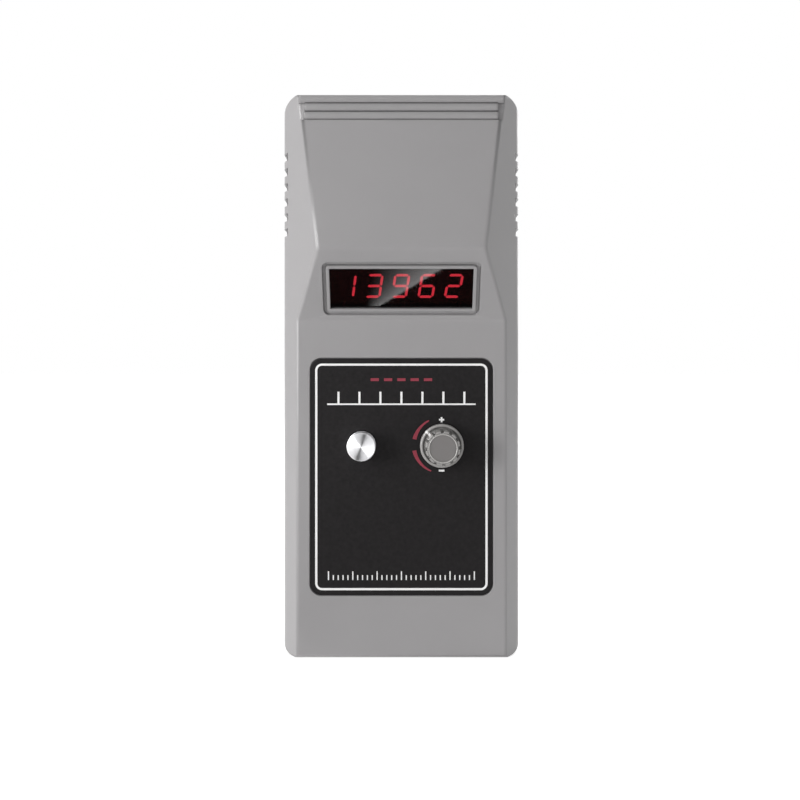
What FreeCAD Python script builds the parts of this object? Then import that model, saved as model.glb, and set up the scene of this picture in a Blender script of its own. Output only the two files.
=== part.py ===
"""Hand-held xenon stroboscope: two moulded shells with a tilted readout, a rate knob and a power button,
a trough reflector with a straight flash tube behind the end window, and the circuit boards that drive it.

Frame: origin on the bottom end, in the joint plane between the shells. +Z runs up to the lamp end,
+X to the right of someone facing the controls, and the controls face -Y. Millimetres throughout.
"""

import FreeCAD
import Part
import math
import os
import sys

import Sketcher
from FreeCAD import Placement, Rotation, Vector

# name, value in millimetres (degrees where the name says so), what it is
SIZES = [
    # case
    ("case_width", 94, "width across the joint between the shells"),
    ("case_height", 220, "bottom end to lamp end"),
    ("front_depth", 23, "joint plane to the flat front face"),
    ("back_depth", 21, "joint plane to the back face"),
    ("hump_rise", 14, "ridge above the flat front face"),
    ("foot_drop", 88, "lamp end down to the foot of the readout slope"),
    ("ridge_drop", 61.4, "lamp end down to the ridge above the readout"),
    ("top_rise", 1.3, "front face at the lamp end, above the flat front"),
    ("crease_depth", 13.4, "joint plane to where the sides start to slope in"),
    ("side_slope_degrees", 32.7, "lean of the sloping sides"),
    ("wall", 2.5, "wall thickness of both shells"),
    ("corner_radius", 6, "corners of the outline at the lamp end"),
    ("foot_corner_radius", 3.5, "corners of the outline at the bottom end"),
    ("crease_radius", 8, "soft edge where the sides start to slope"),
    ("ridge_radius", 3, "rounding of the ridge"),
    ("foot_radius", 4, "hollow rounding at the foot of the slope"),
    ("front_edge_radius", 1.8, "long edges and bottom edge of the front face"),
    ("back_edge_radius", 2.4, "edges of the back face"),
    ("seam_chamfer", 0.4, "shadow line where the shells meet"),
    # vents
    ("vent_count", 6, "slots on each side"),
    ("vent_pitch", 6, "slot to slot"),
    ("vent_width", 3, "height of one slot"),
    ("vent_drop", 22.7, "lamp end down to the middle of the top slot"),
    ("vent_bite", 2.8, "how far a slot runs past the crease"),
    ("vent_land", 3, "solid strip each side of the joint"),
    ("vent_back_length", 10, "slot length in the back shell"),
    # grip ribs at the lamp end
    ("rib_count", 3, "half-round ribs across the front"),
    ("rib_radius", 1.7, ""),
    ("rib_pitch", 3.4, "rib to rib"),
    ("rib_top_gap", 0.15, "top rib below the end face"),
    ("rib_inset", 2.4, "short ribs stop this far inside the edge"),
    ("rib_recess", 1, "recess that the ribs stand in"),
    # readout
    ("window_width", 55.2, "readout opening"),
    ("window_height", 16.8, "readout opening, along the slope"),
    ("window_rise", 13.3, "opening centre above the foot, along the slope"),
    ("lip_width", 1.2, "raised lip round the opening"),
    ("moat_width", 1.5, "groove round the lip"),
    ("moat_depth", 1.1, "depth of that groove"),
    ("moat_radius", 2.4, "outer corners of the groove"),
    ("filter_margin", 1.2, "filter overlap behind the opening"),
    ("filter_thickness", 2, "tinted filter"),
    ("filter_web", 1.3, "wall left in front of the filter"),
    ("digit_count", 5, "readout digits"),
    ("digit_width", 10, "one digit module, also the pitch"),
    ("digit_height", 13, "one digit module"),
    ("digit_depth", 7, "one digit module"),
    ("character_height", 10.16, "lit character"),
    ("character_width", 5.6, "lit character"),
    ("character_lean_degrees", 8, "slant of the character"),
    ("segment_width", 1.1, "one bar of the character"),
    ("segment_gap", 0.25, "gap between bars"),
    ("segment_depth", 0.3, "light wells in the face"),
    ("digit_gap", 0.5, "air between filter and digits"),
    ("display_board_edge", 2.5, "board beyond its screws"),
    ("display_board_height", 20, ""),
    ("display_post_radius", 2.5, "six-sided, over the corners"),
    ("display_post_gap", 0.2, "post to filter seat"),
    # control panel
    ("label_side_gap", 5.3, "label to the edges of the flat front"),
    ("label_foot_gap", 15, "label to the foot of the readout slope"),
    ("label_bottom", 24.7, "lower edge above the bottom end"),
    ("label_radius", 4.5, ""),
    ("label_thickness", 0.5, "sits in a recess of the same depth"),
    ("label_gap", 0.15, "between the label and its recess"),
    ("label_edge", 0.35, "bevel round the recess"),
    ("control_drop", 33.8, "label's upper edge down to knob and button"),
    ("knob_x", 15.7, ""),
    ("button_x", -15.5, ""),
    # rate control
    ("bushing_diameter", 7, ""),
    ("bushing_length", 7.5, "from the inside of the panel"),
    ("panel_hole_gap", 0.2, "radial, round the bushing"),
    ("pot_diameter", 16, ""),
    ("shaft_diameter", 6, ""),
    ("shaft_gap", 0.05, "radial running clearance"),
    ("shaft_length", 12, "outside the panel"),
    ("washer_diameter", 11.4, "twelve-sided, over the corners"),
    ("washer_thickness", 0.5, ""),
    ("nut_flats", 10, ""),
    ("nut_thickness", 2, ""),
    ("knob_diameter", 17, "skirt"),
    ("knob_height", 14, "above the panel"),
    ("knob_gap", 0.9, "skirt above the panel"),
    ("skirt_height", 3, ""),
    ("skirt_wall", 1.7, ""),
    ("barrel_radius", 6.6, ""),
    ("flute_count", 12, ""),
    ("flute_radius", 0.8, "six-sided, over the corners"),
    ("flute_offset", 0.3, "flute centres outside the barrel"),
    ("cap_radius", 5.6, "disc in the knob's face"),
    ("cap_thickness", 1.4, ""),
    ("cap_proud", 0.4, "cap above the barrel"),
    # power button
    ("button_diameter", 11, ""),
    ("button_proud", 8, "above the panel"),
    ("button_gap", 0.3, "radial, in the panel"),
    ("button_tail", 1, "length inside the panel"),
    ("button_travel", 3, ""),
    ("button_chamfer", 0.5, ""),
    ("button_stop_gap", 0.5, "button to switch body when pressed"),
    ("plunger_width", 3.3, "square"),
    ("plunger_gap", 0.1, "each side, in the switch body"),
    ("switch_floor", 0.5, "under the plunger's slot"),
    ("plunger_rest", 0.5, "left under the plunger when it is pressed"),
    ("plunger_grip", 5, "length inside the button"),
    ("switch_width", 12, ""),
    # main board
    ("board_thickness", 1.6, "all boards"),
    ("main_board_gap", 8, "panel inside to board"),
    ("board_side_gap", 3.5, "side wall to main board"),
    ("main_board_bottom", 20, ""),
    ("board_foot_gap", 1, "main board to the foot of the readout slope"),
    ("board_post_radius", 3, "six-sided, over the corners"),
    ("board_screw_side", 5.5, "from a board's sides"),
    ("board_screw_inset", 6, "from a board's ends"),
    ("small_screw_radius", 1.1, "shank and pilot hole, six-sided, over the corners"),
    ("small_head_radius", 2.3, "six-sided, over the corners"),
    ("small_head_height", 1.6, ""),
    ("small_screw_length", 5, "below the board"),
    ("screw_hole_gap", 0.2, "radial, through a board"),
    # case screws
    ("boss_radius", 3.75, "eight-sided, to the flats"),
    ("boss_overlap", 0.5, "boss into the side wall"),
    ("boss_end_gap", 12, "boss axis from each end"),
    ("case_screw_radius", 1.3, "shank and pilot hole, six-sided, over the corners"),
    ("case_screw_bite", 9, "shank beyond the joint"),
    ("case_head_radius", 2.7, "six-sided, over the corners"),
    ("case_head_height", 2, ""),
    ("head_recess_gap", 0.6, "radial, round a case screw's head"),
    ("case_screw_seat", 5, "joint plane to the underside of the head"),
    # lamp
    ("lamp_y", -1.5, "middle of the lamp window"),
    ("lens_cover", 1, "end wall over each end of the reflector"),
    ("lens_height", 30, "opening in the lamp end, front to back"),
    ("lens_radius", 3, ""),
    ("lens_thickness", 2.5, "flange of the window"),
    ("lens_margin", 3.5, "flange beyond the opening's ends"),
    ("lens_side_margin", 2.5, "flange beyond the opening's long sides"),
    ("lens_gap", 0.2, "round the window's land"),
    ("mouth_inset", 0.5, "trough inside the opening's long sides"),
    ("reflector_focus", 4, "focal length of the trough"),
    ("vertex_turn_degrees", 40, "half the turn of the trough's inner arc"),
    ("sheet", 0.8, "reflector sheet"),
    ("ledge_thickness", 2, "ledges that carry the reflector"),
    ("ledge_gap", 1, "ledge to trough"),
    ("tube_radius", 2.5, ""),
    ("tube_reach", 1.2, "glass beyond the reflector's end walls"),
    ("tube_hole_gap", 0.7, "round the tube in the end walls"),
    ("electrode_length", 4, ""),
    ("holder_length", 6.5, ""),
    ("holder_width", 9, ""),
    ("holder_gap", 1.2, "holder to case screw boss"),
    ("trigger_wire_radius", 0.3, "six-sided, over the corners"),
    ("band_width", 1.5, "bands that bind the wire to the tube"),
    ("band_thickness", 0.7, "eight-sided, over the corners"),
    ("band_inset", 5, "from the reflector's end walls"),
    # lamp board
    ("lamp_board_gap", 9.5, "side wall to lamp board"),
    ("lamp_board_drop", 36, "lamp end down to the board's upper edge"),
    ("lamp_board_height", 46, ""),
    ("lamp_post_length", 5, ""),
    ("capacitor_radius", 10, "flash capacitor"),
    ("capacitor_length", 40, ""),
    ("capacitor_rise", 14, "capacitor's axis above the board's lower edge"),
    ("trigger_coil_width", 14, "square"),
    ("trigger_coil_depth", 16, ""),
    ("trigger_coil_inset", 11.5, "from the lamp board's screws"),
    ("trigger_coil_drop", 10, "middle below the lamp board's upper edge"),
    ("resistor_length", 22, ""),
    ("resistor_width", 9.5, "square"),
    ("resistor_x", -10, ""),
    # what stands on the main board
    ("fuse_rise", 14, "fuse above the board's lower edge"),
    ("fuse_inset", 8, "fuse in from the board's side"),
    ("fuse_length", 20, ""),
    ("fuse_cap_length", 5, ""),
    ("fuse_cap_radius", 2.6, "eight-sided, over the corners"),
    ("fuse_glass_radius", 2.3, ""),
    ("fuse_height", 6, "axis above the board"),
    ("clip_width", 7, ""),
    ("clip_length", 4, ""),
    ("core_width", 34, "transformer core"),
    ("core_height", 26, ""),
    ("core_depth", 12, ""),
    ("core_lift", 4, "core above the board"),
    ("coil_width", 24, "transformer coil"),
    ("coil_height", 18, ""),
    ("coil_depth", 20, ""),
    ("transformer_inset", 21, "from the board's side"),
    ("row_shift", 1.5, "transformer row below the middle of fuse and chip"),
    ("logic_capacitor_radius", 6.5, ""),
    ("logic_capacitor_length", 20, ""),
    ("logic_capacitor_x", 12, ""),
    ("regulator_width", 10, ""),
    ("regulator_tab", 1.3, "thickness of its metal tab"),
    ("regulator_tab_height", 15.5, ""),
    ("regulator_depth", 3.7, "thickness of its moulding"),
    ("regulator_height", 9, ""),
    ("regulator_inset", 11, "from the board's side"),
    ("crystal_length", 11, ""),
    ("crystal_width", 4.6, ""),
    ("crystal_height", 3.5, ""),
    ("crystal_inset", 11, "from the board's side"),
    ("chip_length", 36, ""),
    ("chip_width", 14, ""),
    ("chip_height", 4, ""),
    ("chip_x", 5, ""),
    ("chip_drop", 33, "middle below the board's upper edge"),
    ("chip_pins", 14, "down each side"),
    ("pin_pitch", 2.54, ""),
    ("leg_width", 0.5, ""),
    ("leg_thickness", 0.6, ""),
    ("leg_length", 2.5, ""),
    # inlet
    ("inlet_width", 19, ""),
    ("inlet_height", 12, ""),
    ("inlet_depth", 16, ""),
    ("inlet_sink", 0.6, "face below the end wall"),
    ("inlet_flange", 1.5, "flange behind the wall, beyond the body"),
    ("inlet_flange_thickness", 2, ""),
    ("inlet_gap", 0.15, "body to wall"),
    ("socket_width", 14.4, ""),
    ("socket_height", 8, ""),
    ("socket_flat", 0.4, "straight part of each rounded end"),
    ("socket_depth", 12, ""),
    ("pin_radius", 1.2, ""),
    ("pin_spacing", 8.6, ""),
    ("pin_recess", 2.5, "pin tips below the face"),
    ("pin_tail", 3, "pins behind the inlet"),
    # internal leads
    ("lead_radius", 0.9, "insulated leads, six-sided, over the corners"),
    ("mains_lead_rise", 15, "where they land, above the main board's lower edge"),
    ("supply_lead_drop", 12, "where they land, below the main board's upper edge"),
    ("supply_lead_rise", 2, "where they land, above the lamp board's lower edge"),
    ("supply_lead_gap", 4, "beside the flash capacitor"),
    ("lamp_lead_drop", 3, "where they land, below the lamp board's upper edge"),
    ("lead_bend", 7, "straight run before a bend"),
    ("bend_cut", 4, "leads and ribbon cut across a corner, from it along each run"),
    ("ribbon_width", 12, ""),
    ("ribbon_thickness", 1, ""),
    ("ribbon_fall", 9, "between its first two bends"),
    ("ribbon_drop", 6, "where it starts, below the display board's middle"),
    ("ribbon_inset", 6, "where it lands, below the main board's upper edge"),
]

# worked out from the sizes above
LAYOUT = [
    ("ridge_depth", "Sizes.front_depth + Sizes.hump_rise"),
    ("top_depth", "Sizes.front_depth + Sizes.top_rise"),
    ("foot_height", "Sizes.case_height - Sizes.foot_drop"),
    ("ridge_height", "Sizes.case_height - Sizes.ridge_drop"),
    ("tilt", "atan(Sizes.hump_rise / (ridge_height - foot_height))"),
    ("side_lean", "tan(Sizes.side_slope_degrees * 1 deg)"),
    ("front_half", "Sizes.case_width / 2 - side_lean * (Sizes.front_depth - Sizes.crease_depth)"),
    ("vent_start", "Sizes.case_height - Sizes.vent_drop - Sizes.vent_pitch * (Sizes.vent_count - 1)"),
    ("label_width", "2 * (front_half - Sizes.label_side_gap)"),
    ("label_height", "foot_height - Sizes.label_foot_gap - Sizes.label_bottom"),
    ("control_height", "Sizes.label_bottom + label_height - Sizes.control_drop"),
    ("button_hole", "Sizes.button_diameter / 2 + Sizes.button_gap"),
    ("inner_half", "Sizes.case_width / 2 - Sizes.wall"),
    ("inner_front", "Sizes.front_depth - Sizes.wall"),
    ("inner_back", "Sizes.back_depth - Sizes.wall"),
    ("mid_front", "Sizes.front_depth - Sizes.wall / 2"),
    ("board_face", "inner_front - Sizes.main_board_gap"),
    ("board_back", "board_face - Sizes.board_thickness"),
    ("board_half", "inner_half - Sizes.board_side_gap"),
    ("main_board_top", "foot_height - Sizes.board_foot_gap"),
    ("board_screw_x", "board_half - Sizes.board_screw_side"),
    ("fuse_z", "Sizes.main_board_bottom + Sizes.fuse_rise"),
    ("chip_z", "main_board_top - Sizes.chip_drop"),
    ("row_z", "(fuse_z + chip_z) / 2 - Sizes.row_shift"),
    ("screw_x", "inner_half - Sizes.boss_radius + Sizes.boss_overlap"),
    ("seat_half", "Sizes.window_width / 2 + Sizes.filter_margin"),
    ("display_screw_x", "seat_half + Sizes.display_post_gap + Sizes.display_post_radius"),
    ("display_board_width", "2 * (display_screw_x + Sizes.display_board_edge)"),
    ("filter_front", "Sizes.filter_web"),
    ("filter_back", "filter_front + Sizes.filter_thickness"),
    ("digit_face", "filter_back + Sizes.digit_gap"),
    ("display_board_face", "digit_face + Sizes.digit_depth"),
    ("lens_top", "Sizes.case_height - Sizes.wall"),
    ("lens_back", "lens_top - Sizes.lens_thickness"),
    ("holder_end", "screw_x - Sizes.boss_radius - Sizes.holder_gap"),
    ("reflector_width", "2 * (holder_end - Sizes.holder_length - Sizes.sheet)"),
    ("reflector_height", "Sizes.lens_height - 2 * Sizes.mouth_inset"),
    ("lens_width", "reflector_width - 2 * Sizes.lens_cover"),
    ("flange_width", "lens_width + 2 * Sizes.lens_margin"),
    ("flange_height", "Sizes.lens_height + 2 * Sizes.lens_side_margin"),
    ("tube_length", "reflector_width + 2 * (Sizes.sheet + Sizes.tube_reach)"),
    ("trough_depth", "pow(reflector_height / 2; 2) / (4 * Sizes.reflector_focus)"),
    ("tube_z", "lens_back - trough_depth + Sizes.reflector_focus"),
    ("ledge_top", "lens_back - Sizes.sheet"),
    ("lamp_board_face", "inner_back - Sizes.lamp_post_length - Sizes.board_thickness"),
    ("lamp_board_half", "inner_half - Sizes.lamp_board_gap"),
    ("lamp_board_top", "Sizes.case_height - Sizes.lamp_board_drop"),
    ("lamp_board_bottom", "lamp_board_top - Sizes.lamp_board_height"),
    ("lamp_screw_x", "lamp_board_half - Sizes.board_screw_side"),
    ("trigger_coil_x", "lamp_screw_x - Sizes.trigger_coil_inset"),
    ("trigger_coil_z", "lamp_board_top - Sizes.trigger_coil_drop"),
    ("upright", "90"),
    ("display_upright", "90 + tilt / 1 deg"),
    ("window_y", "-(Sizes.front_depth + Sizes.window_rise * sin(tilt))"),
    ("window_z", "foot_height + Sizes.window_rise * cos(tilt)"),
]

doc = FreeCAD.newDocument("stroboscope")
parts = []  # (node name, object) in the order they are written


# ---------------------------------------------------------------- the sheets


def make_sheets():
    """The driving sizes, and a second sheet that works positions out from them."""
    sizes = doc.addObject("Spreadsheet::Sheet", "Sizes")
    for row, (name, value, note) in enumerate(SIZES, start=1):
        sizes.set(f"A{row}", name)
        sizes.set(f"B{row}", str(value))
        sizes.setAlias(f"B{row}", name)
        sizes.set(f"C{row}", note)
    layout = doc.addObject("Spreadsheet::Sheet", "Layout")
    for row, (name, formula) in enumerate(LAYOUT, start=1):
        layout.set(f"A{row}", name)
        layout.setAlias(f"B{row}", name)
        layout.set(f"B{row}", "=" + formula)
    doc.recompute()
    return sizes, layout


def number(expression):
    """The value of an expression, in millimetres or degrees."""
    found = sizes.evalExpression(expression)
    return float(getattr(found, "Value", found))


# ---------------------------------------------------------------- sketches and features


def new_body(name):
    body = doc.addObject("PartDesign::Body", name)
    body.Label = name
    body.AllowCompound = True
    parts.append((name, body))
    return body


def place(thing, x="0", y="0", z="0", angle=None):
    """Bind a piece's place, and its turn about X, to expressions."""
    for axis, expression in zip("xyz", (x, y, z)):
        thing.setExpression(f".Placement.Base.{axis}", expression)
    if angle is not None:
        thing.Placement = Placement(Vector(), Rotation(Vector(1, 0, 0), number(angle)))
        thing.setExpression(".Placement.Rotation.Angle", angle)


def new_sketch(body, name, role="XY_Plane", offset=None):
    """A sketch on one of the body's own origin planes, moved along the plane's normal."""
    sketch = body.newObject("Sketcher::SketchObject", name)
    plane = next(f for f in body.Origin.OriginFeatures if f.Role == role)
    sketch.AttachmentSupport = [(plane, "")]
    sketch.MapMode = "FlatFace"
    if offset is not None:
        sketch.setExpression(".AttachmentOffset.Base.z", offset)
    return sketch


def tilted_sketch(body, name, depth="0"):
    """A sketch on the readout slope, centred on the opening, sunk by depth along the normal."""
    sketch = new_sketch(body, name, "XZ_Plane")
    sketch.AttachmentOffset = Placement(Vector(), Rotation(Vector(1, 0, 0), number("Layout.tilt")))
    sketch.setExpression(".AttachmentOffset.Rotation.Angle", "Layout.tilt")
    sketch.setExpression(".AttachmentOffset.Base.y", f"Layout.window_z + ({depth}) * sin(Layout.tilt)")
    sketch.setExpression(".AttachmentOffset.Base.z", f"-Layout.window_y - ({depth}) * cos(Layout.tilt)")
    return sketch


def bind(sketch, kind, *where, value):
    """Add a dimension to a sketch and tie it to an expression."""
    index = sketch.addConstraint(Sketcher.Constraint(kind, *where, number(value)))
    sketch.setExpression(f"Constraints[{index}]", value)


def polygon(sketch, corners):
    """A closed outline through corners given as pairs of expressions."""
    points = [Vector(number(x), number(y), 0) for x, y in corners]
    first = sketch.GeometryCount
    for start, end in zip(points, points[1:] + points[:1]):
        sketch.addGeometry(Part.LineSegment(start, end), False)
    for i, (x, y) in enumerate(corners):
        following = first + (i + 1) % len(corners)
        sketch.addConstraint(Sketcher.Constraint("Coincident", first + i, 2, following, 1))
        bind(sketch, "DistanceX", -1, 1, first + i, 1, value=x)
        bind(sketch, "DistanceY", -1, 1, first + i, 1, value=y)


def rectangle(sketch, x, y, width, height):
    """A rectangle about its centre."""
    left, right = f"({x}) - ({width}) / 2", f"({x}) + ({width}) / 2"
    low, high = f"({y}) - ({height}) / 2", f"({y}) + ({height}) / 2"
    polygon(sketch, [(left, low), (right, low), (right, high), (left, high)])


def circle(sketch, x, y, radius):
    centre = Vector(number(x), number(y), 0)
    index = sketch.addGeometry(Part.Circle(centre, Vector(0, 0, 1), number(radius)), False)
    bind(sketch, "DistanceX", -1, 1, index, 3, value=x)
    bind(sketch, "DistanceY", -1, 1, index, 3, value=y)
    bind(sketch, "Radius", index, value=radius)


def regular(sketch, x, y, radius, sides=6):
    """A regular outline about its centre, with a flat side uppermost; radius is to the corners."""
    step = 360 / sides
    corners = []
    for index in range(sides):
        angle = (index + 0.5) * step + 90
        corners.append((f"({x}) + ({radius}) * cos({angle} deg)", f"({y}) + ({radius}) * sin({angle} deg)"))
    polygon(sketch, corners)


def clear_of(radius, sides):
    """The corner radius of a regular outline whose flats just touch a circle inside it."""
    return f"(({radius}) / cos({180 / sides} deg))"


def rounded_rectangle(sketch, x, y, width, height, radius, low_radius=None):
    """A rectangle about its centre, with an arc at each corner; the lower two may differ."""
    first = sketch.GeometryCount
    quarter = math.pi / 2
    low = low_radius or radius
    ends = []
    for i, (sx, sy, size) in enumerate([(-1, -1, low), (1, -1, low), (1, 1, radius), (-1, 1, radius)]):
        cx = f"({x}) + ({sx}) * (({width}) / 2 - ({size}))"
        cy = f"({y}) + ({sy}) * (({height}) / 2 - ({size}))"
        round_ = Part.Circle(Vector(number(cx), number(cy), 0), Vector(0, 0, 1), number(size))
        arc = Part.ArcOfCircle(round_, (i + 2) * quarter, (i + 3) * quarter)
        sketch.addGeometry(arc, False)
        ends.append((arc.StartPoint, arc.EndPoint))
        bind(sketch, "DistanceX", -1, 1, first + i, 3, value=cx)
        bind(sketch, "DistanceY", -1, 1, first + i, 3, value=cy)
        bind(sketch, "Radius", first + i, value=size)
    for i in range(4):
        after = (i + 1) % 4
        line = sketch.addGeometry(Part.LineSegment(ends[i][1], ends[after][0]), False)
        sketch.addConstraint(Sketcher.Constraint("Tangent", first + i, 2, line, 1))
        sketch.addConstraint(Sketcher.Constraint("Tangent", line, 2, first + after, 1))


def volume(body):
    return body.Shape.Volume if body.Tip else 0.0


def feature(body, kind, name, sketch, length=None, **settings):
    """A sketched feature of a body, which has to change the body's volume."""
    before = volume(body)
    made = body.newObject(f"PartDesign::{kind}", name)
    made.Profile = sketch
    for key, value in settings.items():
        setattr(made, key, value)
    if length is not None:
        made.setExpression("Length", length)
    doc.recompute()
    if abs(body.Shape.Volume - before) < 1e-6:
        raise RuntimeError(f"{body.Label}: {name} changes nothing")
    return made


def pad(body, name, sketch, length, **settings):
    return feature(body, "Pad", name, sketch, length, **settings)


def pocket(body, name, sketch, length=None, **settings):
    if length is None:
        settings["Type"] = "ThroughAll"
    return feature(body, "Pocket", name, sketch, length, **settings)


def revolve(body, name, sketch):
    """Turn a profile, drawn with the radius along x, about the sketch's vertical axis."""
    made = body.newObject("PartDesign::Revolution", name)
    made.Profile = sketch
    made.ReferenceAxis = (sketch, ["V_Axis"])
    made.Angle = 360
    doc.recompute()
    return made


def round_edges(body, name, radius, chosen, kind="Fillet"):
    """Fillet or chamfer the edges that the test chooses."""
    base = body.Tip
    found = [f"Edge{i}" for i, edge in enumerate(base.Shape.Edges, start=1) if chosen(edge)]
    if not found:
        raise RuntimeError(f"{body.Label}: {name} finds no edge")
    made = body.newObject(f"PartDesign::{kind}", name)
    made.Base = (base, found)
    made.setExpression("Radius" if kind == "Fillet" else "Size", radius)
    doc.recompute()
    return made


def linear_pattern(body, name, original, direction, length, occurrences):
    made = body.newObject("PartDesign::LinearPattern", name)
    made.Originals = [original]
    made.Direction = direction
    made.setExpression("Length", length)
    made.setExpression("Occurrences", occurrences)
    body.Tip = made
    doc.recompute()
    return made


def block(name, x, y, z, width, depth, height):
    """A Part box between two faces, given by its low corner and its sizes."""
    made = doc.addObject("Part::Box", name)
    for key, expression in zip(("Length", "Width", "Height"), (width, depth, height)):
        made.setExpression(key, expression)
    place(made, x, y, z)
    return made


def rod(name, x, y, z, radius, length, direction=Vector(0, 0, 1)):
    """A Part cylinder from a point, along a direction."""
    made = doc.addObject("Part::Cylinder", name)
    made.setExpression("Radius", radius)
    made.setExpression("Height", length)
    made.Placement = Placement(Vector(), Rotation(Vector(0, 0, 1), direction))
    place(made, x, y, z)
    return made


def prism(name, x, y, z, radius, length, sides, direction=Vector(0, 0, 1)):
    """A Part prism from a point, along a direction; radius is to the corners."""
    made = doc.addObject("Part::Prism", name)
    made.Polygon = sides
    made.setExpression("Circumradius", radius)
    made.setExpression("Height", length)
    made.Placement = Placement(Vector(), Rotation(Vector(0, 0, 1), direction))
    place(made, x, y, z)
    return made


def join(name, pieces, kind="Part::MultiFuse"):
    made = doc.addObject(kind, name)
    if kind == "Part::Compound":
        made.Links = pieces
    else:
        made.Shapes = pieces
    return made


def cut(name, base, tool):
    made = doc.addObject("Part::Cut", name)
    made.Base = base
    made.Tool = tool
    return made


def keep(name, thing):
    """Name a finished Part object and list it for writing."""
    thing.Label = name
    parts.append((name, thing))
    return thing


RUN_SHARE = 0.45  # most of a lead's run that one cut corner takes
ALONG_X = Vector(1, 0, 0)
ALONG_Y = Vector(0, 1, 0)


# ---------------------------------------------------------------- edges of the shells


def near(value, target, slack=0.05):
    return abs(value - target) < slack


def edge_ends(edge):
    return [vertex.Point for vertex in edge.Vertexes]


def is_parallel(edge, direction):
    ends = edge_ends(edge)
    return len(ends) == 2 and (ends[1] - ends[0]).cross(direction).Length < 1e-6


def front_level(z):
    """Depth of the front face, forward of the joint plane, at a height."""
    foot, ridge, top = layout.foot_height, layout.ridge_height, sizes.case_height
    if z <= foot:
        return sizes.front_depth
    if z <= ridge:
        return sizes.front_depth + sizes.hump_rise * (z - foot) / (ridge - foot)
    fall = layout.ridge_depth - layout.top_depth
    return layout.ridge_depth - fall * (z - ridge) / (top - ridge)


def on_front_face(point):
    return near(-point.y, front_level(point.z))


def on_front_rim(edge):
    """The bottom edge of the front face and the long edges that meet it."""
    ends = edge_ends(edge)
    low = any(near(p.z, 0) and near(-p.y, sizes.front_depth) for p in ends)
    return low and all(map(on_front_face, ends))


def front_cross_edge(height):
    """The edges that cross the front face at one height."""

    def chosen(edge):
        ends = edge_ends(edge)
        level = all(near(p.z, height) for p in ends)
        return level and is_parallel(edge, ALONG_X) and all(map(on_front_face, ends))

    return chosen


def on_crease(edge):
    ends = edge_ends(edge)
    outside = all(near(abs(p.x), sizes.case_width / 2) for p in ends)
    level = all(near(-p.y, sizes.crease_depth) for p in ends)
    return outside and level and is_parallel(edge, Vector(0, 0, 1))


def on_label_rim(edge):
    """The outer edges of the label's recess, in the flat front face."""
    box = edge.BoundBox
    level = box.YLength < 1e-6 and near(-box.YMin, sizes.front_depth)
    return level and max(abs(box.XMin), abs(box.XMax)) < layout.label_width / 2 + 2 * sizes.label_gap


def on_seam(edge):
    """The outer edges of a shell that lie in the joint plane."""
    box = edge.BoundBox
    if box.YLength > 1e-6 or not near(box.YMin, 0, 1e-4):
        return False
    middle = edge.valueAt((edge.FirstParameter + edge.LastParameter) / 2)
    inset = sizes.wall / 2
    beside = abs(middle.x) > sizes.case_width / 2 - inset
    at_end = middle.z < inset or middle.z > sizes.case_height - inset
    corner = edge.Curve.TypeId == "Part::GeomCircle" and near(edge.Curve.Radius, sizes.corner_radius)
    return beside or at_end or corner


# ---------------------------------------------------------------- case


def shell_blank(body, depth, forward):
    """The outline, padded to one side of the joint plane."""
    outline = new_sketch(body, "outline", "XZ_Plane")
    rectangle(outline, "0", "Sizes.case_height / 2", "Sizes.case_width", "Sizes.case_height")
    pad(body, "blank", outline, depth, Reversed=not forward)


def hollow(body):
    """Shell the blank, open on the joint plane."""
    base = body.Tip
    doc.recompute()
    faces = [
        f"Face{i}"
        for i, face in enumerate(base.Shape.Faces, start=1)
        if face.BoundBox.YLength < 1e-6 and near(face.BoundBox.YMin, 0)
    ]
    made = body.newObject("PartDesign::Thickness", "walls")
    made.Base = (base, faces)
    made.Mode = "Skin"
    made.Join = "Arc"
    made.Intersection = True
    made.Reversed = True
    made.setExpression("Value", "Sizes.wall")
    doc.recompute()


def side_profile_cut(body):
    """Trim the front of the blank to the stepped side profile: flat, slope, ridge and fall."""
    profile = new_sketch(body, "side_profile", "YZ_Plane")
    beyond = "(Layout.ridge_depth + Sizes.wall)"
    polygon(
        profile,
        [
            ("-Sizes.front_depth", "-Sizes.wall"),
            ("-Sizes.front_depth", "Layout.foot_height"),
            ("-Layout.ridge_depth", "Layout.ridge_height"),
            ("-Layout.top_depth", "Sizes.case_height"),
            ("-Layout.top_depth", "Sizes.case_height + Sizes.wall"),
            (f"-{beyond}", "Sizes.case_height + Sizes.wall"),
            (f"-{beyond}", "-Sizes.wall"),
        ],
    )
    pocket(body, "side_profile_cut", profile, Midplane=True)


def trim_corners(body):
    """Round the outline's four corners through the whole depth of the shell."""
    trim = new_sketch(body, "corner_trim", "XZ_Plane")
    middle = "Sizes.case_height / 2"
    radii = ("Sizes.corner_radius", "Sizes.foot_corner_radius")
    rectangle(trim, "0", middle, "Sizes.case_width + 2 * Sizes.wall", "Sizes.case_height + 2 * Sizes.wall")
    rounded_rectangle(trim, "0", middle, "Sizes.case_width", "Sizes.case_height", *radii)
    pocket(body, "corner_trim_cut", trim, Midplane=True)


def fill_corners(body):
    """Thicken the walls inside the rounded corners."""
    fill = new_sketch(body, "corner_fill", "XZ_Plane")
    middle = "Sizes.case_height / 2"
    for inset in ("Sizes.wall / 2", "Sizes.wall"):
        width, height = f"Sizes.case_width - 2 * {inset}", f"Sizes.case_height - 2 * {inset}"
        radii = (f"Sizes.corner_radius - {inset}", "Sizes.foot_corner_radius / 4")
        rounded_rectangle(fill, "0", middle, width, height, *radii)
    pad(body, "corner_fill_pad", fill, "Sizes.crease_depth")


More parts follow.
